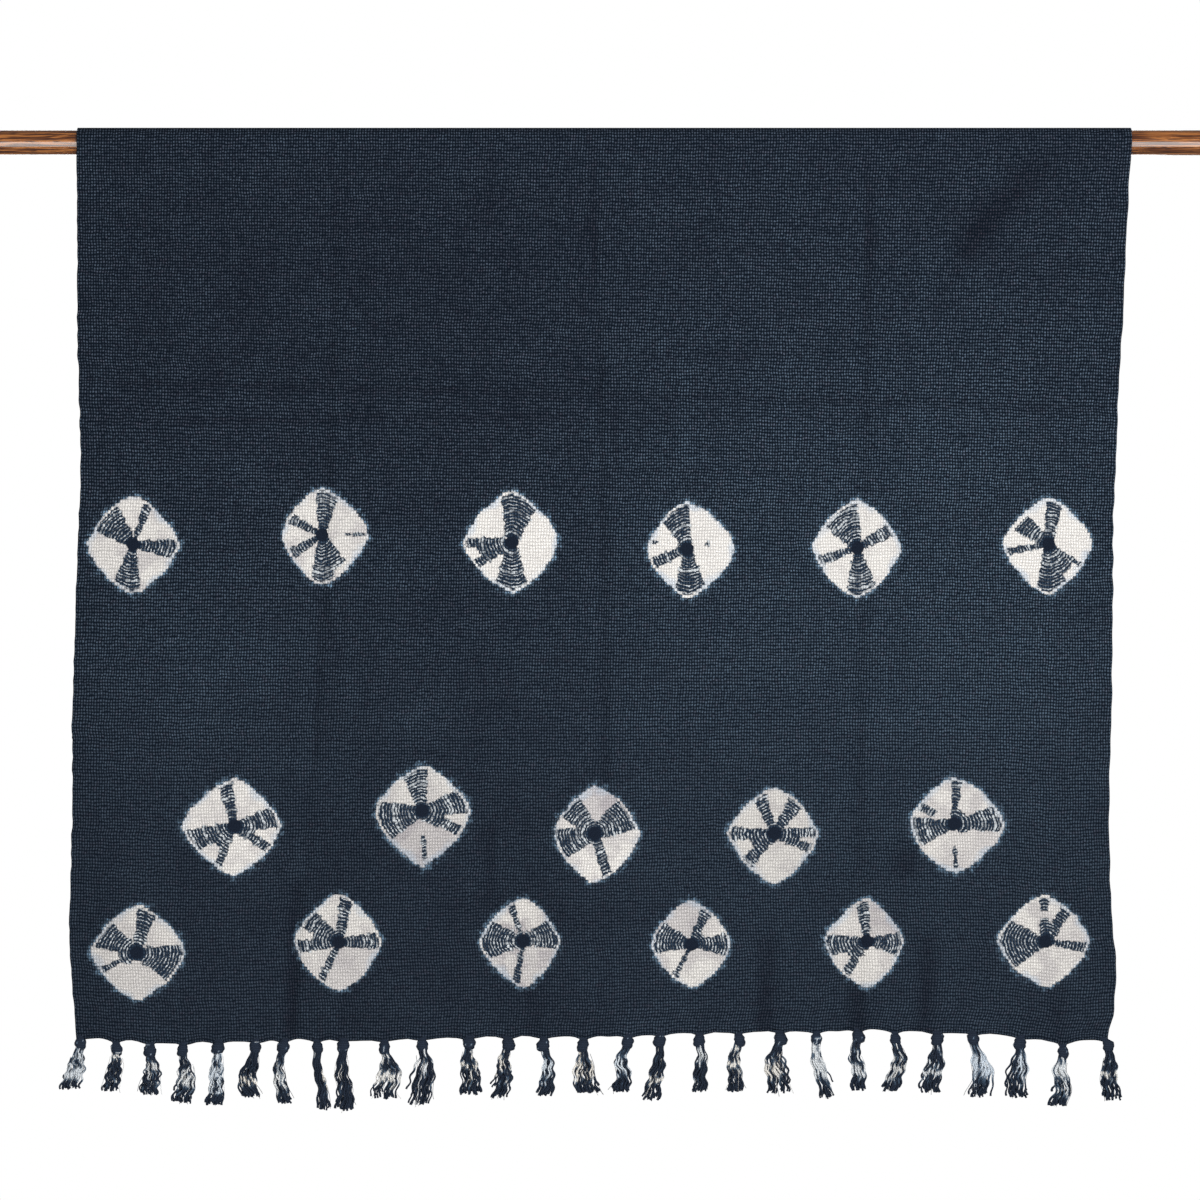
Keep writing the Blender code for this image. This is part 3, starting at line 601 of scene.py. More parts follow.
def throw_material(tied):
    """Plain weave, dyed navy. The faces near a tied diamond also have its parts, from their attributes."""
    n = Nodes("throw cloth tied" if tied else "throw cloth", CLOTH_ROUGHNESS, CLOTH_SPECULAR)
    cloth = n.uv("UVMap")
    wobble = n.vector("SUBTRACT", n.noise(cloth, WOBBLE_SIZE, 2.0, 1), HALVES)
    u, v, _ = n.parts(n.vector("ADD", cloth, n.scale(wobble, WOBBLE)))
    row_place = n.maths("DIVIDE", v, WEFT_PITCH)
    column_place = n.maths("DIVIDE", u, WARP_PITCH)
    row = n.maths("FLOOR", row_place)
    column = n.maths("FLOOR", column_place)
    across = n.minus(n.maths("FRACT", column_place), 0.5)
    up = n.minus(n.maths("FRACT", row_place), 0.5)
    # The bare numbers only keep these draws apart
    chance = n.chance(n.join(column, row))
    row_chance = n.chance(n.join(row, 3.5))
    column_chance = n.chance(n.join(column, 71.5))
    float_shift = n.swing(n.chance(n.join(row, column, 9.5)), FLOAT_SHIFT)
    round_across = n.line(n.maths("COSINE", n.times(across, math.pi)), 1 - GAP_ACROSS, GAP_ACROSS)
    round_up = n.maths("COSINE", n.times(n.plus(up, float_shift), math.pi))
    round_up = n.line(n.maths("MAXIMUM", round_up, 0.0), 1 - GAP_UP, GAP_UP)
    dome = n.times(round_across, round_up)
    n.bump(n.times(dome, n.blend(chance, 0.6, 1.0)), *THREAD_BUMP)

    noises = [n.swing(n.noise(cloth, size, detail), swing) for size, detail, swing in UNEVEN_DYE]
    # The tone attribute holds painted light and shade as well as the dye's own tone
    tone = n.plus(n.attribute("tone"), n.plus(*noises))
    threads_tone = n.plus(n.swing(row_chance, THREAD_TONE), n.swing(column_chance, THREAD_TONE))
    from_hem = n.maths("MINIMUM", v, n.minus(FLAT_LENGTH, v))
    contrast = n.between(from_hem, *CRISPER, *THREAD_CONTRAST)
    sharpness = n.between(from_hem, *CRISPER, *THREAD_SHARPNESS)
    gain = n.between(from_hem, *CRISPER, *THREAD_GAIN)
    # raised is the weave's painted light and shade: light on the thread tops and shade in the gaps between
    # them, with a random tone for each thread
    raised = n.line(n.minus(chance, 0.5), contrast, THREAD_LIGHT)
    raised = n.times(raised, n.times(n.maths("POWER", dome, sharpness), gain))
    dye = n.mix(n.plus(tone, threads_tone), DYE_DARK, DYE_LIGHT)
    reddened = n.between(n.noise(cloth, 0.0085, 2.0), 0.55, 0.70)
    dye = n.mix(reddened, dye, n.vector("MULTIPLY", dye, REDDENED))
    dye = n.vector("ADD", n.scale(dye, raised), PAINTED_GAP_SHADE)
    if not tied:
        return n.finish(dye)

    place = n.uv("Motif")
    to_thread = n.join(n.times(across, -WARP_PITCH), n.times(up, -WEFT_PITCH))
    threads = n.vector("ADD", place, n.scale(to_thread, RIM_STEPS))
    x, y, _ = n.parts(threads)
    side = n.parts(n.attribute("motif_sides", "Vector"))
    tall = n.parts(n.attribute("motif_heights", "Vector"))
    reach_x = n.blend(n.maths("GREATER_THAN", x, 0.0), side[0], side[1])
    reach_y = n.blend(n.maths("GREATER_THAN", y, 0.0), tall[0], tall[1])
    share_x = n.maths("ABSOLUTE", n.maths("DIVIDE", x, reach_x))
    share_y = n.maths("ABSOLUTE", n.maths("DIVIDE", y, reach_y))
    powers = n.plus(n.maths("POWER", share_x, ROUNDING), n.maths("POWER", share_y, ROUNDING))
    rim = n.maths("POWER", powers, 1.0 / ROUNDING)
    edge_noise = n.minus(n.noise(cloth, 0.007, 2.0), 0.5)
    uneven = n.minus(n.noise(cloth, 0.030, 1.0), 0.5)
    rim = n.plus(rim, n.line(edge_noise, RIM_FRAY, n.times(uneven, RIM_WAVE)))
    radius = n.node("ShaderNodeVectorMath", {0: place}, operation="LENGTH").outputs[1]
    place_x, place_y, _ = n.parts(place)
    direction = n.maths("ARCTAN2", place_y, place_x)
    rim_radius = n.maths("DIVIDE", radius, n.maths("MAXIMUM", rim, 0.02))
    ragged = n.times(n.minus(n.noise(cloth, 0.005, 1.0), 0.5), SPOKE_FRAY)
    path = n.times(n.plus(radius, n.times(rim, ARCS_FOLLOW_RIM)), 0.5 / ARC_PITCH)
    path = n.plus(path, n.times(n.noise(cloth, 0.014, 1.0), ARC_DRIFT))
    arc_number = n.maths("FLOOR", path)
    arc_chance = n.chance(n.join(arc_number, side[0], tall[0]))
    arc_spare = n.line(arc_chance, 0.0024, -0.0010)

    dyed = 0.0
    ends = []
    for group in range(END_GROUPS):
        ends += n.parts(n.attribute(f"spoke_ends_{group + 1}", "Vector"))
    for number in range(SPOKE_SLOTS):
        angle, half_sine, start = n.parts(n.attribute(f"spoke_{number + 1}", "Vector"))
        turn = n.minus(direction, angle)
        sideways = n.times(radius, n.maths("ABSOLUTE", n.maths("SINE", turn)))
        at_dot = n.between(half_sine, 0.12, 0.36, THIN_NARROWING, WIDE_NARROWING)
        half = n.times(n.times(rim_radius, half_sine), n.blend(rim, at_dot, 1.0))
        spare = n.plus(n.minus(half, sideways), n.plus(ragged, arc_spare))
        inside = n.between(spare, -0.0006, 0.0008)
        inside = n.times(inside, n.maths("GREATER_THAN", n.maths("COSINE", turn), 0.0))
        for within in (n.minus(rim, start), n.minus(ends[number], rim)):
            inside = n.times(inside, n.between(within, -END_SOFTNESS, END_SOFTNESS))
        dyed = inside if number == 0 else n.maths("MAXIMUM", dyed, inside)

    thickness = n.between(arc_chance, 0.68, 0.98, *ARC_WIDTHS)
    from_middle = n.maths("ABSOLUTE", n.minus(n.maths("FRACT", path), 0.5))
    line = n.between(n.minus(thickness, from_middle), -0.08, 0.08)
    broken = n.between(n.noise(cloth, 0.0046, 1.0), 0.38, 0.52, 0.20, 1.0)
    broken = n.times(broken, n.between(dome, 0.08, 0.42, 0.40, 1.0))
    broken = n.times(broken, n.between(n.noise(cloth, 0.013, 1.0), 0.30, 0.60, 0.35, 1.0))
    arcs = n.times(n.times(line, broken), n.between(radius, 0.0085, 0.0115))

    # Painted shade in the gaps between the threads of the undyed parts
    grid = n.line(dome, 0.62, 0.70)
    grid = n.times(grid, n.line(chance, 0.12, 0.94))
    blotch = n.between(n.noise(cloth, 0.028, 2.0), 0.42, 0.62)
    grey_angle, grey_lobe, _ = n.parts(n.attribute("motif_grey", "Vector"))
    lobe = n.between(n.maths("COSINE", n.minus(direction, grey_angle)), 0.20, 0.80)
    lobe = n.times(n.times(lobe, grey_lobe), n.blend(blotch, 0.65, 1.0))
    greyed = n.maths("MAXIMUM", n.times(blotch, tall[2]), lobe)
    white = n.mix(greyed, WHITE, MAUVE)
    tinted = n.between(n.plus(rim, n.times(uneven, 0.5)), 0.88, 1.06, 0.0, 0.60)
    white = n.mix(tinted, white, EDGE_TINT)
    white = n.scale(white, n.times(grid, side[2]))

    inside_rim = n.between(rim, *RIM)
    halo = n.between(n.plus(rim, n.times(edge_noise, 0.40)), *HALO)
    halo = n.times(halo, halo)
    # The halo and spokes carry the same painted light on thread tops and painted shade in the gaps
    colour = n.mix(halo, dye, n.scale(HALO_DYE, n.line(raised, 0.80, 0.30)))
    colour = n.mix(inside_rim, colour, white)
    spoke = n.vector("ADD", n.scale(SPOKE_DYE, raised), SPOKE_GAP_SHADE)
    spoke = n.mix(arcs, spoke, ARC_WHITE)
    colour = n.mix(n.times(inside_rim, dyed), colour, spoke)
    dot = n.between(n.plus(radius, ragged), DOT_RADIUS + DOT_SOFTNESS, DOT_RADIUS - DOT_SOFTNESS)
    return n.finish(n.mix(dot, colour, DOT_DYE))


def back_motifs():
    """The three rows repeat, turned about, at the hidden end: as far from its hem as on the front."""
    order = [3, 5, 0, 4, 1, 2, 9, 6, 10, 7, 8, 13, 11, 16, 12, 15, 14]
    chosen = []
    for i, motif in enumerate(MOTIFS):
        other = MOTIFS[order[i]]
        from_hem = FRONT_DROP * 1000 - motif.drop
        chosen.append(other._replace(x=BACK_MOTIF_SHIFT - motif.x, drop=BACK_DROP * 1000 - from_hem))
    return tuple(chosen)


def motif_facts(motif):
    """A motif's numbers as the face attributes that the material reads."""
    spokes = list(motif.spokes)
    while len(spokes) < SPOKE_SLOTS:
        spokes.append(Spoke(0.0, 0.0, 2.0, 0.0))
    facts = {
        "motif_sides": (motif.left / 1000, motif.right / 1000, motif.white),
        "motif_heights": (motif.bottom / 1000, motif.top / 1000, motif.mauve),
        "motif_grey": (math.remainder(math.radians(motif.grey_angle), 2 * math.pi), motif.grey_lobe, 0.0),
    }
    ends = [spoke.end for spoke in spokes] + [0.0] * (3 * END_GROUPS - SPOKE_SLOTS)
    for group in range(END_GROUPS):
        facts[f"spoke_ends_{group + 1}"] = tuple(ends[3 * group:3 * group + 3])
    for number, spoke in enumerate(spokes):
        half_sine = math.sin(math.radians(spoke.half_width))
        facts[f"spoke_{number + 1}"] = (math.radians(spoke.angle), half_sine, spoke.start)
    return facts


def front_tone(x, drop):
    tone = LEFT_TONE_AND_SHADE + (RIGHT_TONE_AND_LIGHT - LEFT_TONE_AND_SHADE) * smoothstep(x, -TONE_SHIFT / 2, TONE_SHIFT / 2)
    for patch in FRONT_TONE_AND_SHADE_PATCHES:
        away = ((x - patch.x) / patch.half_x) ** 2 + ((drop - patch.drop) / patch.half_drop) ** 2
        tone = tone + patch.change * np.exp(-away)
    # Painted shade along the small folds and dents, darker where they dip
    tone = tone + CREASE_SHADE * sum(fold_height(fold, x, drop) for fold in FRONT_DETAILS)
    return tone - HEM_SHADE * smoothstep(drop, FRONT_DROP - HEM_SHADE_REACH, FRONT_DROP)


def back_tone(x, drop):
    tone = BACK_TONE + BACK_TONE_SWING * soft_noise(x, drop, BACK_TONE_SIZE, SEED + 5)
    # Painted shade along the back's creases
    tone = tone + CREASE_SHADE * sum(fold_height(fold, x, drop) for fold in BACK_DETAILS)
    return tone - HEM_SHADE * smoothstep(drop, BACK_DROP - HEM_SHADE_REACH, BACK_DROP)


def cloth_lines():
    """The cloth's grid as one array of points, with each point's drop side, place and length along it."""
    back_rows = np.linspace(0.0, BACK_DROP, BACK_ROWS)[1:]
    lines, sides, places, lengths = [], [], [], []
    for row in front_rows()[:0:-1]:
        x, drop = front_drop.line(row)
        lines.append(np.stack([x, -front_drop.out(x, drop), -drop], axis=1))
        sides.append(FRONT)
        places.append(drop)
        lengths.append(FRONT_DROP - row)
    for step in range(DRAPE_ROWS):
        angle = math.pi * step / (DRAPE_ROWS - 1)
        x, _ = front_drop.line(0.0)
        y = np.full_like(x, -DRAPE_RADIUS * math.cos(angle))
        z = np.full_like(x, DRAPE_RADIUS * math.sin(angle))
        lines.append(np.stack([x, y, z], axis=1))
        sides.append(0)
        places.append(np.zeros_like(x))
        lengths.append(FRONT_DROP + DRAPE_RADIUS * angle)
    for row in back_rows:
        x, drop = back_drop.line(row)
        lines.append(np.stack([x, back_drop.out(x, drop), -drop], axis=1))
        sides.append(BACK)
        places.append(drop)
        lengths.append(FRONT_DROP + math.pi * DRAPE_RADIUS + row)
    return np.array(lines), np.array(sides), np.array(places), np.array(lengths)


def set_attribute(mesh, name, kind, domain, values):
    layer = mesh.attributes.new(name, kind, domain)
    field = "vector" if kind == "FLOAT_VECTOR" else "value"
    layer.data.foreach_set(field, np.ascontiguousarray(values, dtype=np.float32).ravel())


def make_throw():
    points, sides, drops, lengths = cloth_lines()
    rows, columns = points.shape[:2]
    index = np.arange(rows * columns).reshape(rows, columns)
    corners = [index[:-1, :-1], index[:-1, 1:], index[1:, 1:], index[1:, :-1]]
    faces = np.stack([corner.ravel() for corner in corners], axis=1)
    mesh = bpy.data.meshes.new("throw_cloth")
    mesh.from_pydata(points.reshape(-1, 3), [], faces)
    flat_points = points.reshape(-1, 3)
    flat_drops = drops.ravel()
    flat_sides = np.repeat(sides, columns)

    line_x = points[:, :, 0]
    share = (line_x - line_x[:, :1]) / (line_x[:, -1:] - line_x[:, :1])
    cloth_place = np.stack([share.ravel() * FLAT_WIDTH, np.repeat(lengths, columns)], axis=1)
    layer = mesh.uv_layers.new(name="UVMap")
    layer.uv.foreach_set("vector", cloth_place[faces].astype(np.float32).ravel())

    centre_x = flat_points[faces, 0].mean(axis=1)
    centre_drop = flat_drops[faces].mean(axis=1)
    face_side = flat_sides[faces].min(axis=1) + flat_sides[faces].max(axis=1)
    nearest = np.full(len(faces), MOTIF_REACH)
    local = np.full((len(faces), 4, 2), NOWHERE)
    facts = {name: np.zeros((len(faces), 3)) for name in motif_facts(MOTIFS[0])}
    for name in ("motif_sides", "motif_heights"):
        facts[name][:] = 0.05
    for side, motifs in ((FRONT, MOTIFS), (BACK, back_motifs())):
        for motif in motifs:
            x, drop = motif.x / 1000, motif.drop / 1000
            away = np.abs(centre_x - x) + np.abs(centre_drop - drop)
            mine = (np.sign(face_side) == side) & (away < nearest)
            nearest[mine] = away[mine]
            up = side * (flat_drops[faces[mine]] - drop)
            local[mine] = np.stack([flat_points[faces[mine], 0] - x, up], axis=2)
            for name, value in motif_facts(motif).items():
                facts[name][mine] = value
    layer = mesh.uv_layers.new(name="Motif")
    layer.uv.foreach_set("vector", local.astype(np.float32).ravel())
    for name, values in facts.items():
        set_attribute(mesh, name, "FLOAT_VECTOR", "FACE", values)
    tones = [front_tone(flat_points[:, 0], flat_drops), back_tone(flat_points[:, 0], flat_drops)]
    tone = np.where(flat_sides == FRONT, *tones)
    over_rod = np.exp(-flat_drops / ROD_TONE_FADE)
    set_attribute(mesh, "tone", "FLOAT", "POINT", tone * (1 - over_rod) + ROD_TONE * over_rod)
    mesh.shade_smooth()
    mesh.materials.append(throw_material(False))
    mesh.materials.append(throw_material(True))
    mesh.polygons.foreach_set("material_index", (nearest < MOTIF_REACH).astype(np.int32))
    throw = bpy.data.objects.new("throw_cloth", mesh)
    bpy.context.collection.objects.link(throw)
    solidify = throw.modifiers.new("Cloth thickness", "SOLIDIFY")
    solidify.thickness = CLOTH_THICKNESS
    solidify.offset = 0.0
    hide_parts("throw")
    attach(throw, "root")
    return throw


YARN_ROUGHNESS = 0.9
YARN_SPECULAR = 0.25
YARN_BUMP = (0.6, 0.0004)
YARN_TWIST = 1900.0  # radians a metre
NAVY_YARN = (0.0175, 0.0260, 0.0445, 1.0)
MID_YARN = (0.060, 0.100, 0.155, 1.0)
PALE_BLUE = (0.60, 0.69, 0.79, 1.0)
CREAM = (0.84, 0.79, 0.71, 1.0)


def yarn_material():
    """Cotton yarn: navy, pale where the dye missed it, with fine twisted fibres."""
    n = Nodes("fringe yarn", YARN_ROUGHNESS, YARN_SPECULAR)
    along_yarn = n.uv("UVMap")
    u, v, _ = n.parts(along_yarn)
    turned = n.line(u, 2 * math.pi, n.times(v, YARN_TWIST))
    twist = n.maths("SINE", turned)
    fibre = n.noise(n.join(n.times(u, 0.004), v), 0.0016, 2.0)
    height = n.plus(n.times(twist, 0.5), fibre)
    n.bump(height, *YARN_BUMP)
    pale = n.plus(n.attribute("pale"), n.swing(fibre, 0.5))
    light = n.mix(n.attribute("blue"), CREAM, PALE_BLUE)
    colour = n.mix(n.between(pale, 0.15, 0.55), NAVY_YARN, MID_YARN)
    colour = n.mix(n.between(pale, 0.45, 0.85), colour, light)
    shade = n.line(twist, 0.16, 0.88)
    return n.finish(n.scale(colour, shade))


class Strands:
    """Gathers tubes and knots as one mesh, with their pale and blue shares and a map along each yarn."""

    def __init__(self):
        self.points, self.faces, self.map, self.pale, self.blue = [], [], [], [], []

    def tube(self, path, radii, sides, pale, blue, phase=0.0):
        path = np.asarray(path)
        forward = np.gradient(path, axis=0)
        forward /= np.linalg.norm(forward, axis=1, keepdims=True)
        across = np.cross(forward, (0.0, 1.0, 0.0))
        across /= np.linalg.norm(across, axis=1, keepdims=True)
        beside = np.cross(forward, across)
        length = np.concatenate([[0.0], np.cumsum(np.linalg.norm(np.diff(path, axis=0), axis=1))])
        first = len(self.points)
        turns = 2 * math.pi * np.arange(sides) / sides + phase
        for step, point in enumerate(path):
            for turn in turns:
                offset = across[step] * math.cos(turn) + beside[step] * math.sin(turn)
                self.points.append(point + radii[step] * offset)
                self.pale.append(pale[step])
                self.blue.append(blue)
        self.skin(first, len(path), sides, length)

    def skin(self, first, rings, sides, length):
        """Faces between the rings of points that start at this one, with caps at both ends."""
        for ring in range(rings - 1):
            for side in range(sides):
                after = (side + 1) % sides
                low, high = first + ring * sides, first + (ring + 1) * sides
                self.faces.append((low + side, low + after, high + after, high + side))
                start, end = side / sides, (side + 1) / sides
                near, far = length[ring], length[ring + 1]
                self.map += [(start, near), (end, near), (end, far), (start, far)]
        self.faces.append(tuple(first + side for side in reversed(range(sides))))
        self.map += [(side / sides, length[0]) for side in reversed(range(sides))]
        last = first + (rings - 1) * sides
        self.faces.append(tuple(last + side for side in range(sides)))
        self.map += [(side / sides, length[-1]) for side in range(sides)]

    def object(self, name, material):
        mesh = bpy.data.meshes.new(name)
        mesh.from_pydata(np.array(self.points), [], self.faces)
        layer = mesh.uv_layers.new(name="UVMap")
        layer.uv.foreach_set("vector", np.array(self.map, dtype=np.float32).ravel())
        set_attribute(mesh, "pale", "FLOAT", "POINT", self.pale)
        set_attribute(mesh, "blue", "FLOAT", "POINT", self.blue)
        mesh.shade_smooth()
        mesh.materials.append(material)
        made = bpy.data.objects.new(name, mesh)
        bpy.context.collection.objects.link(made)
        return made


def add_knot(strands, middle, side, dyeing, edges, chance):
    """A lump of wound yarn below the hem, narrow at its neck, with grooves between its turns."""
    x, y, z = middle
    first = len(strands.points)
    turns = 2 * math.pi * np.arange(KNOT_POINTS) / KNOT_POINTS
    lean = chance.uniform(-0.16, 0.16)
    start = chance.uniform(0.0, 2 * math.pi)
    lump_start = chance.uniform(0.0, 2 * math.pi)
    plump = chance.uniform(0.86, 1.12)
    wound_pale = chance.random() < KNOT_PALE_SHARE
    pale_ring = chance.integers(1, 8)
    pale_turn = chance.uniform(0.6, 2.5)
    for number, ring in enumerate(KNOT_RINGS):
        roundness = min(1.0, ring.half_depth / 0.006)
        inside = float(np.clip(x, edges[0] + ring.half_width, edges[1] - ring.half_width))
        ring_x = x + (inside - x) * smoothstep(ring.rise, 0.003, 0.008) + lean * (0.004 - ring.rise)
        for turn in turns:
            wrap = math.sin(KNOT_WRAPS * turn + start + ring.rise * 900.0)
            lump = math.sin(turn + lump_start) + math.sin(2 * turn - lump_start + ring.rise * 350.0)
            grow = plump * (1.0 + (KNOT_GROOVE * wrap + KNOT_LUMP * lump) * roundness)
            strands.points.append(
                (
                    ring_x + ring.half_width * grow * math.cos(turn),
                    y + side * ring.half_depth * grow * math.sin(turn),
                    z + ring.rise,
                )
            )
            fleck = chance.random() < 0.12 * dyeing.mottled and 2 < number < 9
            wound = wound_pale and number == pale_ring and abs(turn - pale_turn) < 0.7
            strands.pale.append(0.70 if fleck or wound else 0.02)
            strands.blue.append(dyeing.blue)
    strands.skin(first, len(KNOT_RINGS), KNOT_POINTS, [0.003 * i for i in range(len(KNOT_RINGS))])


def add_tassel(strands, tassel, dyeing, middle, side, edges, chance):
    """A knot and the crimped yarns below it, which sway as one loose rope with a blunt, frayed end."""
    add_knot(strands, middle, side, dyeing, edges, chance)
    x, y, z = middle
    top = z - 0.003
    share = np.linspace(0.0, 1.0, YARN_STEPS)
    sway = np.interp(
        share, (0.0, 0.33, 0.67, 1.0), (0.0, tassel.sway_upper, tassel.sway_lower, tassel.sway_end)
    )
    sway = np.convolve(np.pad(sway, 2, mode="edge"), np.ones(5) / 5, mode="valid")
    sway = sway + 0.0012 * np.sin(share * chance.uniform(6.0, 9.0) + chance.uniform(0.0, 6.0)) * share
    twist = chance.uniform(-2.2, 2.2)
    belly = tassel.spread * chance.uniform(0.90, 1.08)
    width = NECK_HALF + (belly - NECK_HALF) * smoothstep(share, 0.05, 0.55)
    width = width + 0.0014 * smoothstep(share, 0.70, 1.0)
    depth = 0.0036 + 0.0016 * np.sin(np.minimum(share, 0.8) * math.pi)
    crimp = chance.uniform(20.0, 28.0)
    crimp_start = chance.uniform(0.0, 2 * math.pi)
    for yarn in range(YARNS):
        turns = 2.4 * yarn + chance.uniform(-0.3, 0.3) + twist * share
        out = math.sqrt((yarn + 0.5) / YARNS)
        phase = crimp_start + chance.uniform(-0.5, 0.5)
        crinkle = chance.uniform(0.0008, 0.0016) * np.minimum(share * 3.0, 1.0)
        crinkle = crinkle * np.sin(share * crimp + phase)
        stray = chance.normal(0.0, 0.0011) * share * share
        short = chance.uniform(0.72, 0.90) if chance.random() < 0.12 else chance.uniform(0.93, 1.03)
        path = np.stack(
            [
                x + sway + width * out * np.cos(turns) + crinkle + stray,
                y + side * (depth * out * np.sin(turns) + 0.001 * share) + 0.6 * crinkle,
                top - tassel.length * short * share,
            ],
            axis=1,
        )
        patches = chance.uniform(0.0, 1.0, DYE_PATCHES)
        missed = np.interp(share, np.linspace(0.0, 1.0, DYE_PATCHES), patches)
        pale = 0.04 + chance.uniform(0.40, 1.0) * np.clip((dyeing.mottled - missed) * 3.5 + 0.6, 0.0, 1.0)
        if chance.random() < dyeing.band_share:
            where = dyeing.band_at + chance.uniform(-0.04, 0.04)
            pale = np.maximum(pale, 0.95 * np.exp(-(((share - where) / dyeing.band_half) ** 2)))
        pale = pale * (1.0 - 0.85 * smoothstep(share, 0.80, 0.92))
        radii = YARN_RADIUS * (0.9 + 0.15 * np.sin(share * 9.0 + phase))
        radii = radii * (1.0 + 0.25 * smoothstep(share, 0.85, 0.98))
        strands.tube(path, radii, YARN_SIDES, pale, dyeing.blue, chance.uniform(0.0, 1.0))
    for _ in range(HAIRS):
        turn = chance.uniform(0.0, 2 * math.pi)
        start = chance.uniform(0.10, 0.60)
        part = start + (1.02 - start) * share
        stray = chance.uniform(-1.0, 1.0) * (tassel.spread * 0.5 + 0.003) * share**1.5
        curl = 0.0015 * np.sin(share * chance.uniform(3.0, 8.0) + turn)
        path = np.stack(
            [
                x + np.interp(part, share, sway) + 0.8 * belly * math.cos(turn) + stray + curl,
                y + side * (0.0045 * math.sin(turn)) + 0.5 * stray,
                top - tassel.length * part * chance.uniform(0.9, 1.05),
            ],
            axis=1,
        )
        pale = np.full(YARN_STEPS, 0.75 if chance.random() < dyeing.mottled else 0.05)
        strands.tube(path, np.full(YARN_STEPS, HAIR_RADIUS), 3, pale, dyeing.blue)


def make_fringe(name, node, drop, dyes, material, seed):
    strands = Strands()
    chance = np.random.default_rng(seed)
    edges = (drop.left_edge[-1].x, drop.right_edge[-1].x)
    for tassel, dyeing in zip(drop.tassels, dyes):
        x = np.array([tassel.x])
        hem = float(along(drop.hem, x, "x", "drop")[0]) + STRIP_PULL
        y = drop.side * float(drop.out(x, np.array([hem]))[0])
        middle = (tassel.x, y, -hem - tassel.knot_drop)
        add_tassel(strands, tassel, dyeing, middle, drop.side, edges, chance)
    fringe = strands.object(name, material)
    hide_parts(node)
    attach(fringe, "root")
    return fringe


ROD_ROUGHNESS = 0.34
ROD_SPECULAR = 0.35
VARNISH = {"Coat Weight": 1.0, "Coat Roughness": 0.12, "Coat IOR": 2.1}
GRAIN_BUMP = (0.25, 0.0002)
GRAIN_STRETCH = 0.020  # the grain's size across the rod as a share of its size along it
PORE_STRETCH = 0.08
ROD_DARK = (0.062, 0.014, 0.003, 1.0)
ROD_MIDDLE = (0.230, 0.068, 0.013, 1.0)
ROD_LIGHT = (0.480, 0.176, 0.042, 1.0)


def rod_material():
    """Stained and varnished wood, with fine dark pores and streaks along the rod."""
    n = Nodes("rod wood", ROD_ROUGHNESS, ROD_SPECULAR)
    for socket, value in VARNISH.items():
        n.shader.inputs[socket].default_value = value
    place = n.node("ShaderNodeTexCoord").outputs["Object"]
    drift = n.scale(n.vector("SUBTRACT", n.noise(place, 0.25, 2.0, 1), HALVES), 0.010)
    x, y, z = n.parts(n.vector("ADD", place, n.vector("MULTIPLY", drift, (0.0, 1.0, 1.0))))
    grain = n.join(n.times(x, GRAIN_STRETCH), y, z)
    broad = n.line(n.noise(grain, 0.0050, 2.0), 0.60, 0.20)
    fine = n.noise(grain, 0.0013, 1.0)
    pores = n.noise(n.join(n.times(x, PORE_STRETCH), y, z), 0.0016, 1.0)
    streak = n.line(n.minus(fine, 0.5), 2.2, broad)
    colour = n.mix(n.between(streak, 0.30, 0.52), ROD_DARK, ROD_MIDDLE)
    colour = n.mix(n.between(streak, 0.48, 0.72), colour, ROD_LIGHT)
    colour = n.mix(n.between(pores, 0.56, 0.68, 0.0, 0.85), colour, ROD_DARK)
    n.bump(n.minus(fine, n.between(pores, 0.55, 0.75)), *GRAIN_BUMP)
    return n.finish(colour)


def dress_rod():
    rod = nodes["rod"]
    made = rod_material()
    for held in rod.material_slots:
        held.material = made


def area_light(name, location, aim, width, height, power, colour, glossy=True):
    data = bpy.data.lights.new(name, "AREA")
    data.shape = "RECTANGLE"
    data.size = width
    data.size_y = height
    data.energy = power
    data.color = colour
    lamp = bpy.data.objects.new(name, data)
    bpy.context.collection.objects.link(lamp)
    lamp.location = location
    lamp.rotation_euler = (Vector(aim) - Vector(location)).to_track_quat("-Z", "Y").to_euler()
    lamp.visible_camera = False
    lamp.visible_glossy = glossy


WORLD_SEEN = 1.0
WORLD_LIGHT = 0.11


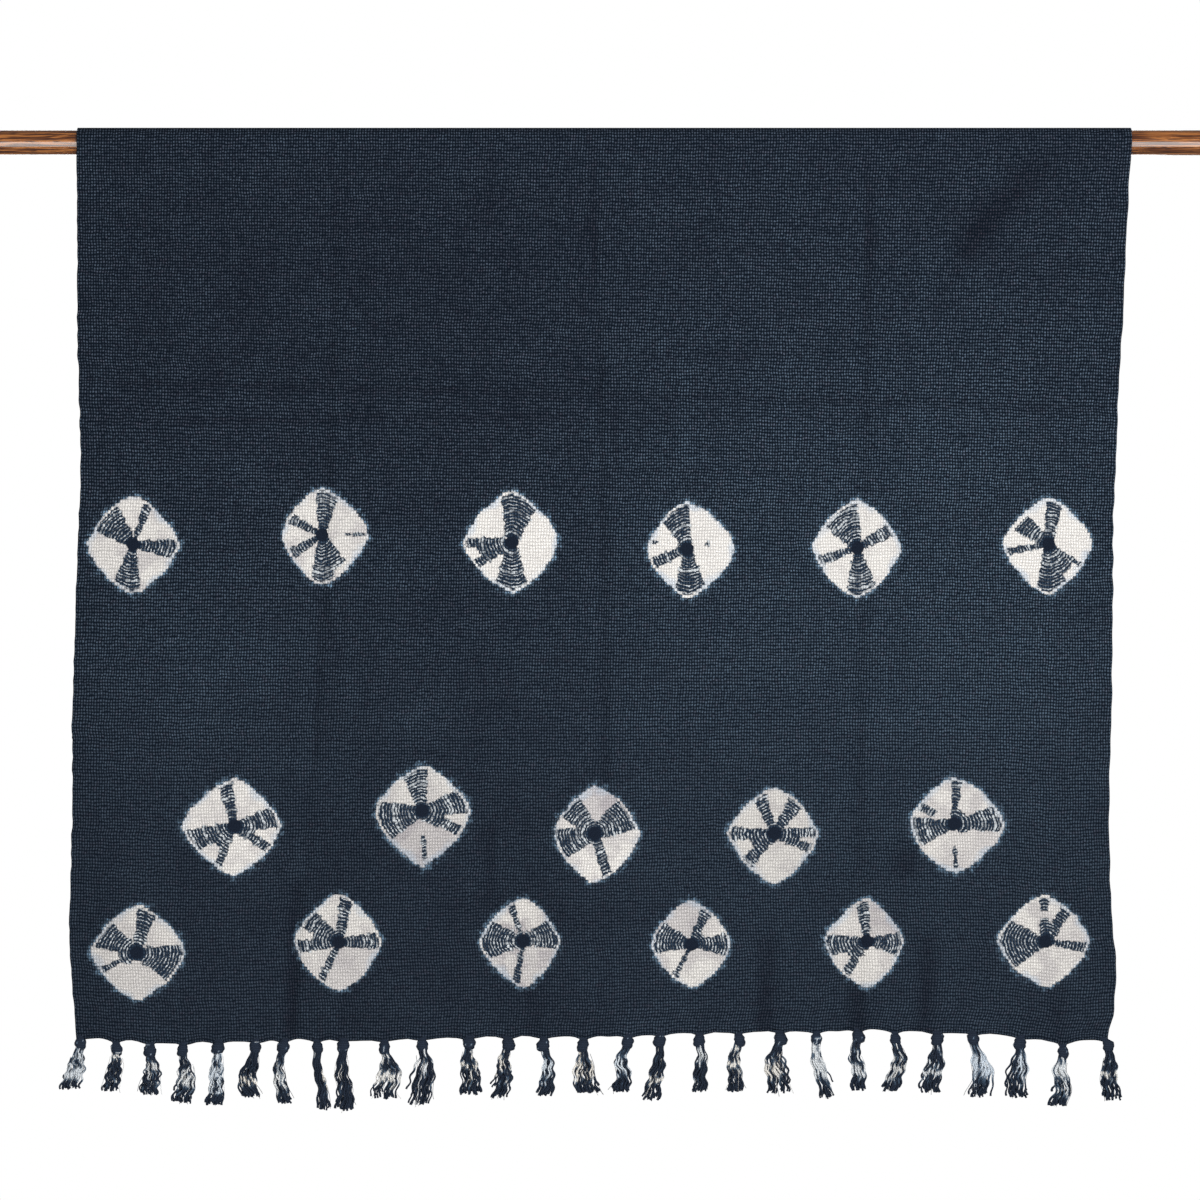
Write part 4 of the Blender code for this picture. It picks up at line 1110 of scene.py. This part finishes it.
def make_studio():
    world = bpy.data.worlds.new("Studio")
    bpy.context.scene.world = world
    world.use_nodes = True
    tree = world.node_tree
    background = tree.nodes["Background"]
    background.inputs["Color"].default_value = (1.0, 1.0, 1.0, 1.0)
    rays = tree.nodes.new("ShaderNodeLightPath")
    strength = tree.nodes.new("ShaderNodeMapRange")
    strength.inputs[3].default_value = WORLD_LIGHT
    strength.inputs[4].default_value = WORLD_SEEN
    tree.links.new(rays.outputs["Is Camera Ray"], strength.inputs[0])
    tree.links.new(strength.outputs[0], background.inputs["Strength"])
    bpy.context.scene.view_settings.view_transform = "Standard"
    area_light("Key", (0.15, -2.6, -0.55), (0.0, 0.0, -0.52), 3.0, 2.1, 47.0, (1.0, 0.99, 0.97))
    area_light("Upper light", (0.9, -1.8, 1.9), (0.0, 0.0, -0.5), 1.0, 0.8, 46.0, (0.98, 0.99, 1.0), False)
    area_light("Low light", (0.0, -2.4, -3.2), (0.0, 0.0, -0.3), 2.6, 1.0, 60.0, (1.0, 0.99, 0.98), False)
    area_light("Back light", (-0.5, 2.6, -0.3), (0.0, 0.0, -0.5), 3.0, 1.8, 78.0, (1.0, 1.0, 1.0))
    for side in (-1, 1):
        place = (side * 3.4, 0.0, 0.1)
        area_light("Side light", place, (0.0, 0.0, -0.5), 1.6, 1.6, 34.0, (1.0, 1.0, 1.0), False)


def make_camera():
    data = bpy.data.cameras.new("Camera")
    data.sensor_width = SENSOR_WIDTH
    data.lens = SENSOR_WIDTH / 2 * CAMERA_DISTANCE / VIEW_HALF_WIDTH
    data.clip_end = 100.0
    camera = bpy.data.objects.new("Camera", data)
    bpy.context.collection.objects.link(camera)
    camera.location = (CAMERA_X, -CAMERA_DISTANCE, CAMERA_Z)
    camera.rotation_euler = (math.pi / 2, 0.0, 0.0)
    bpy.context.scene.camera = camera


make_camera()
make_studio()
dress_rod()
throw = make_throw()
yarn = yarn_material()
fringe_front = make_fringe("fringe_front_yarn", "fringe_front", front_drop, TASSEL_DYES, yarn, SEED)
back_dyes = tuple(TASSEL_DYES[(5 * i + 3) % len(TASSELS)] for i in range(len(TASSELS)))[::-1]
fringe_back = make_fringe("fringe_back_yarn", "fringe_back", back_drop, back_dyes, yarn, SEED + 1)
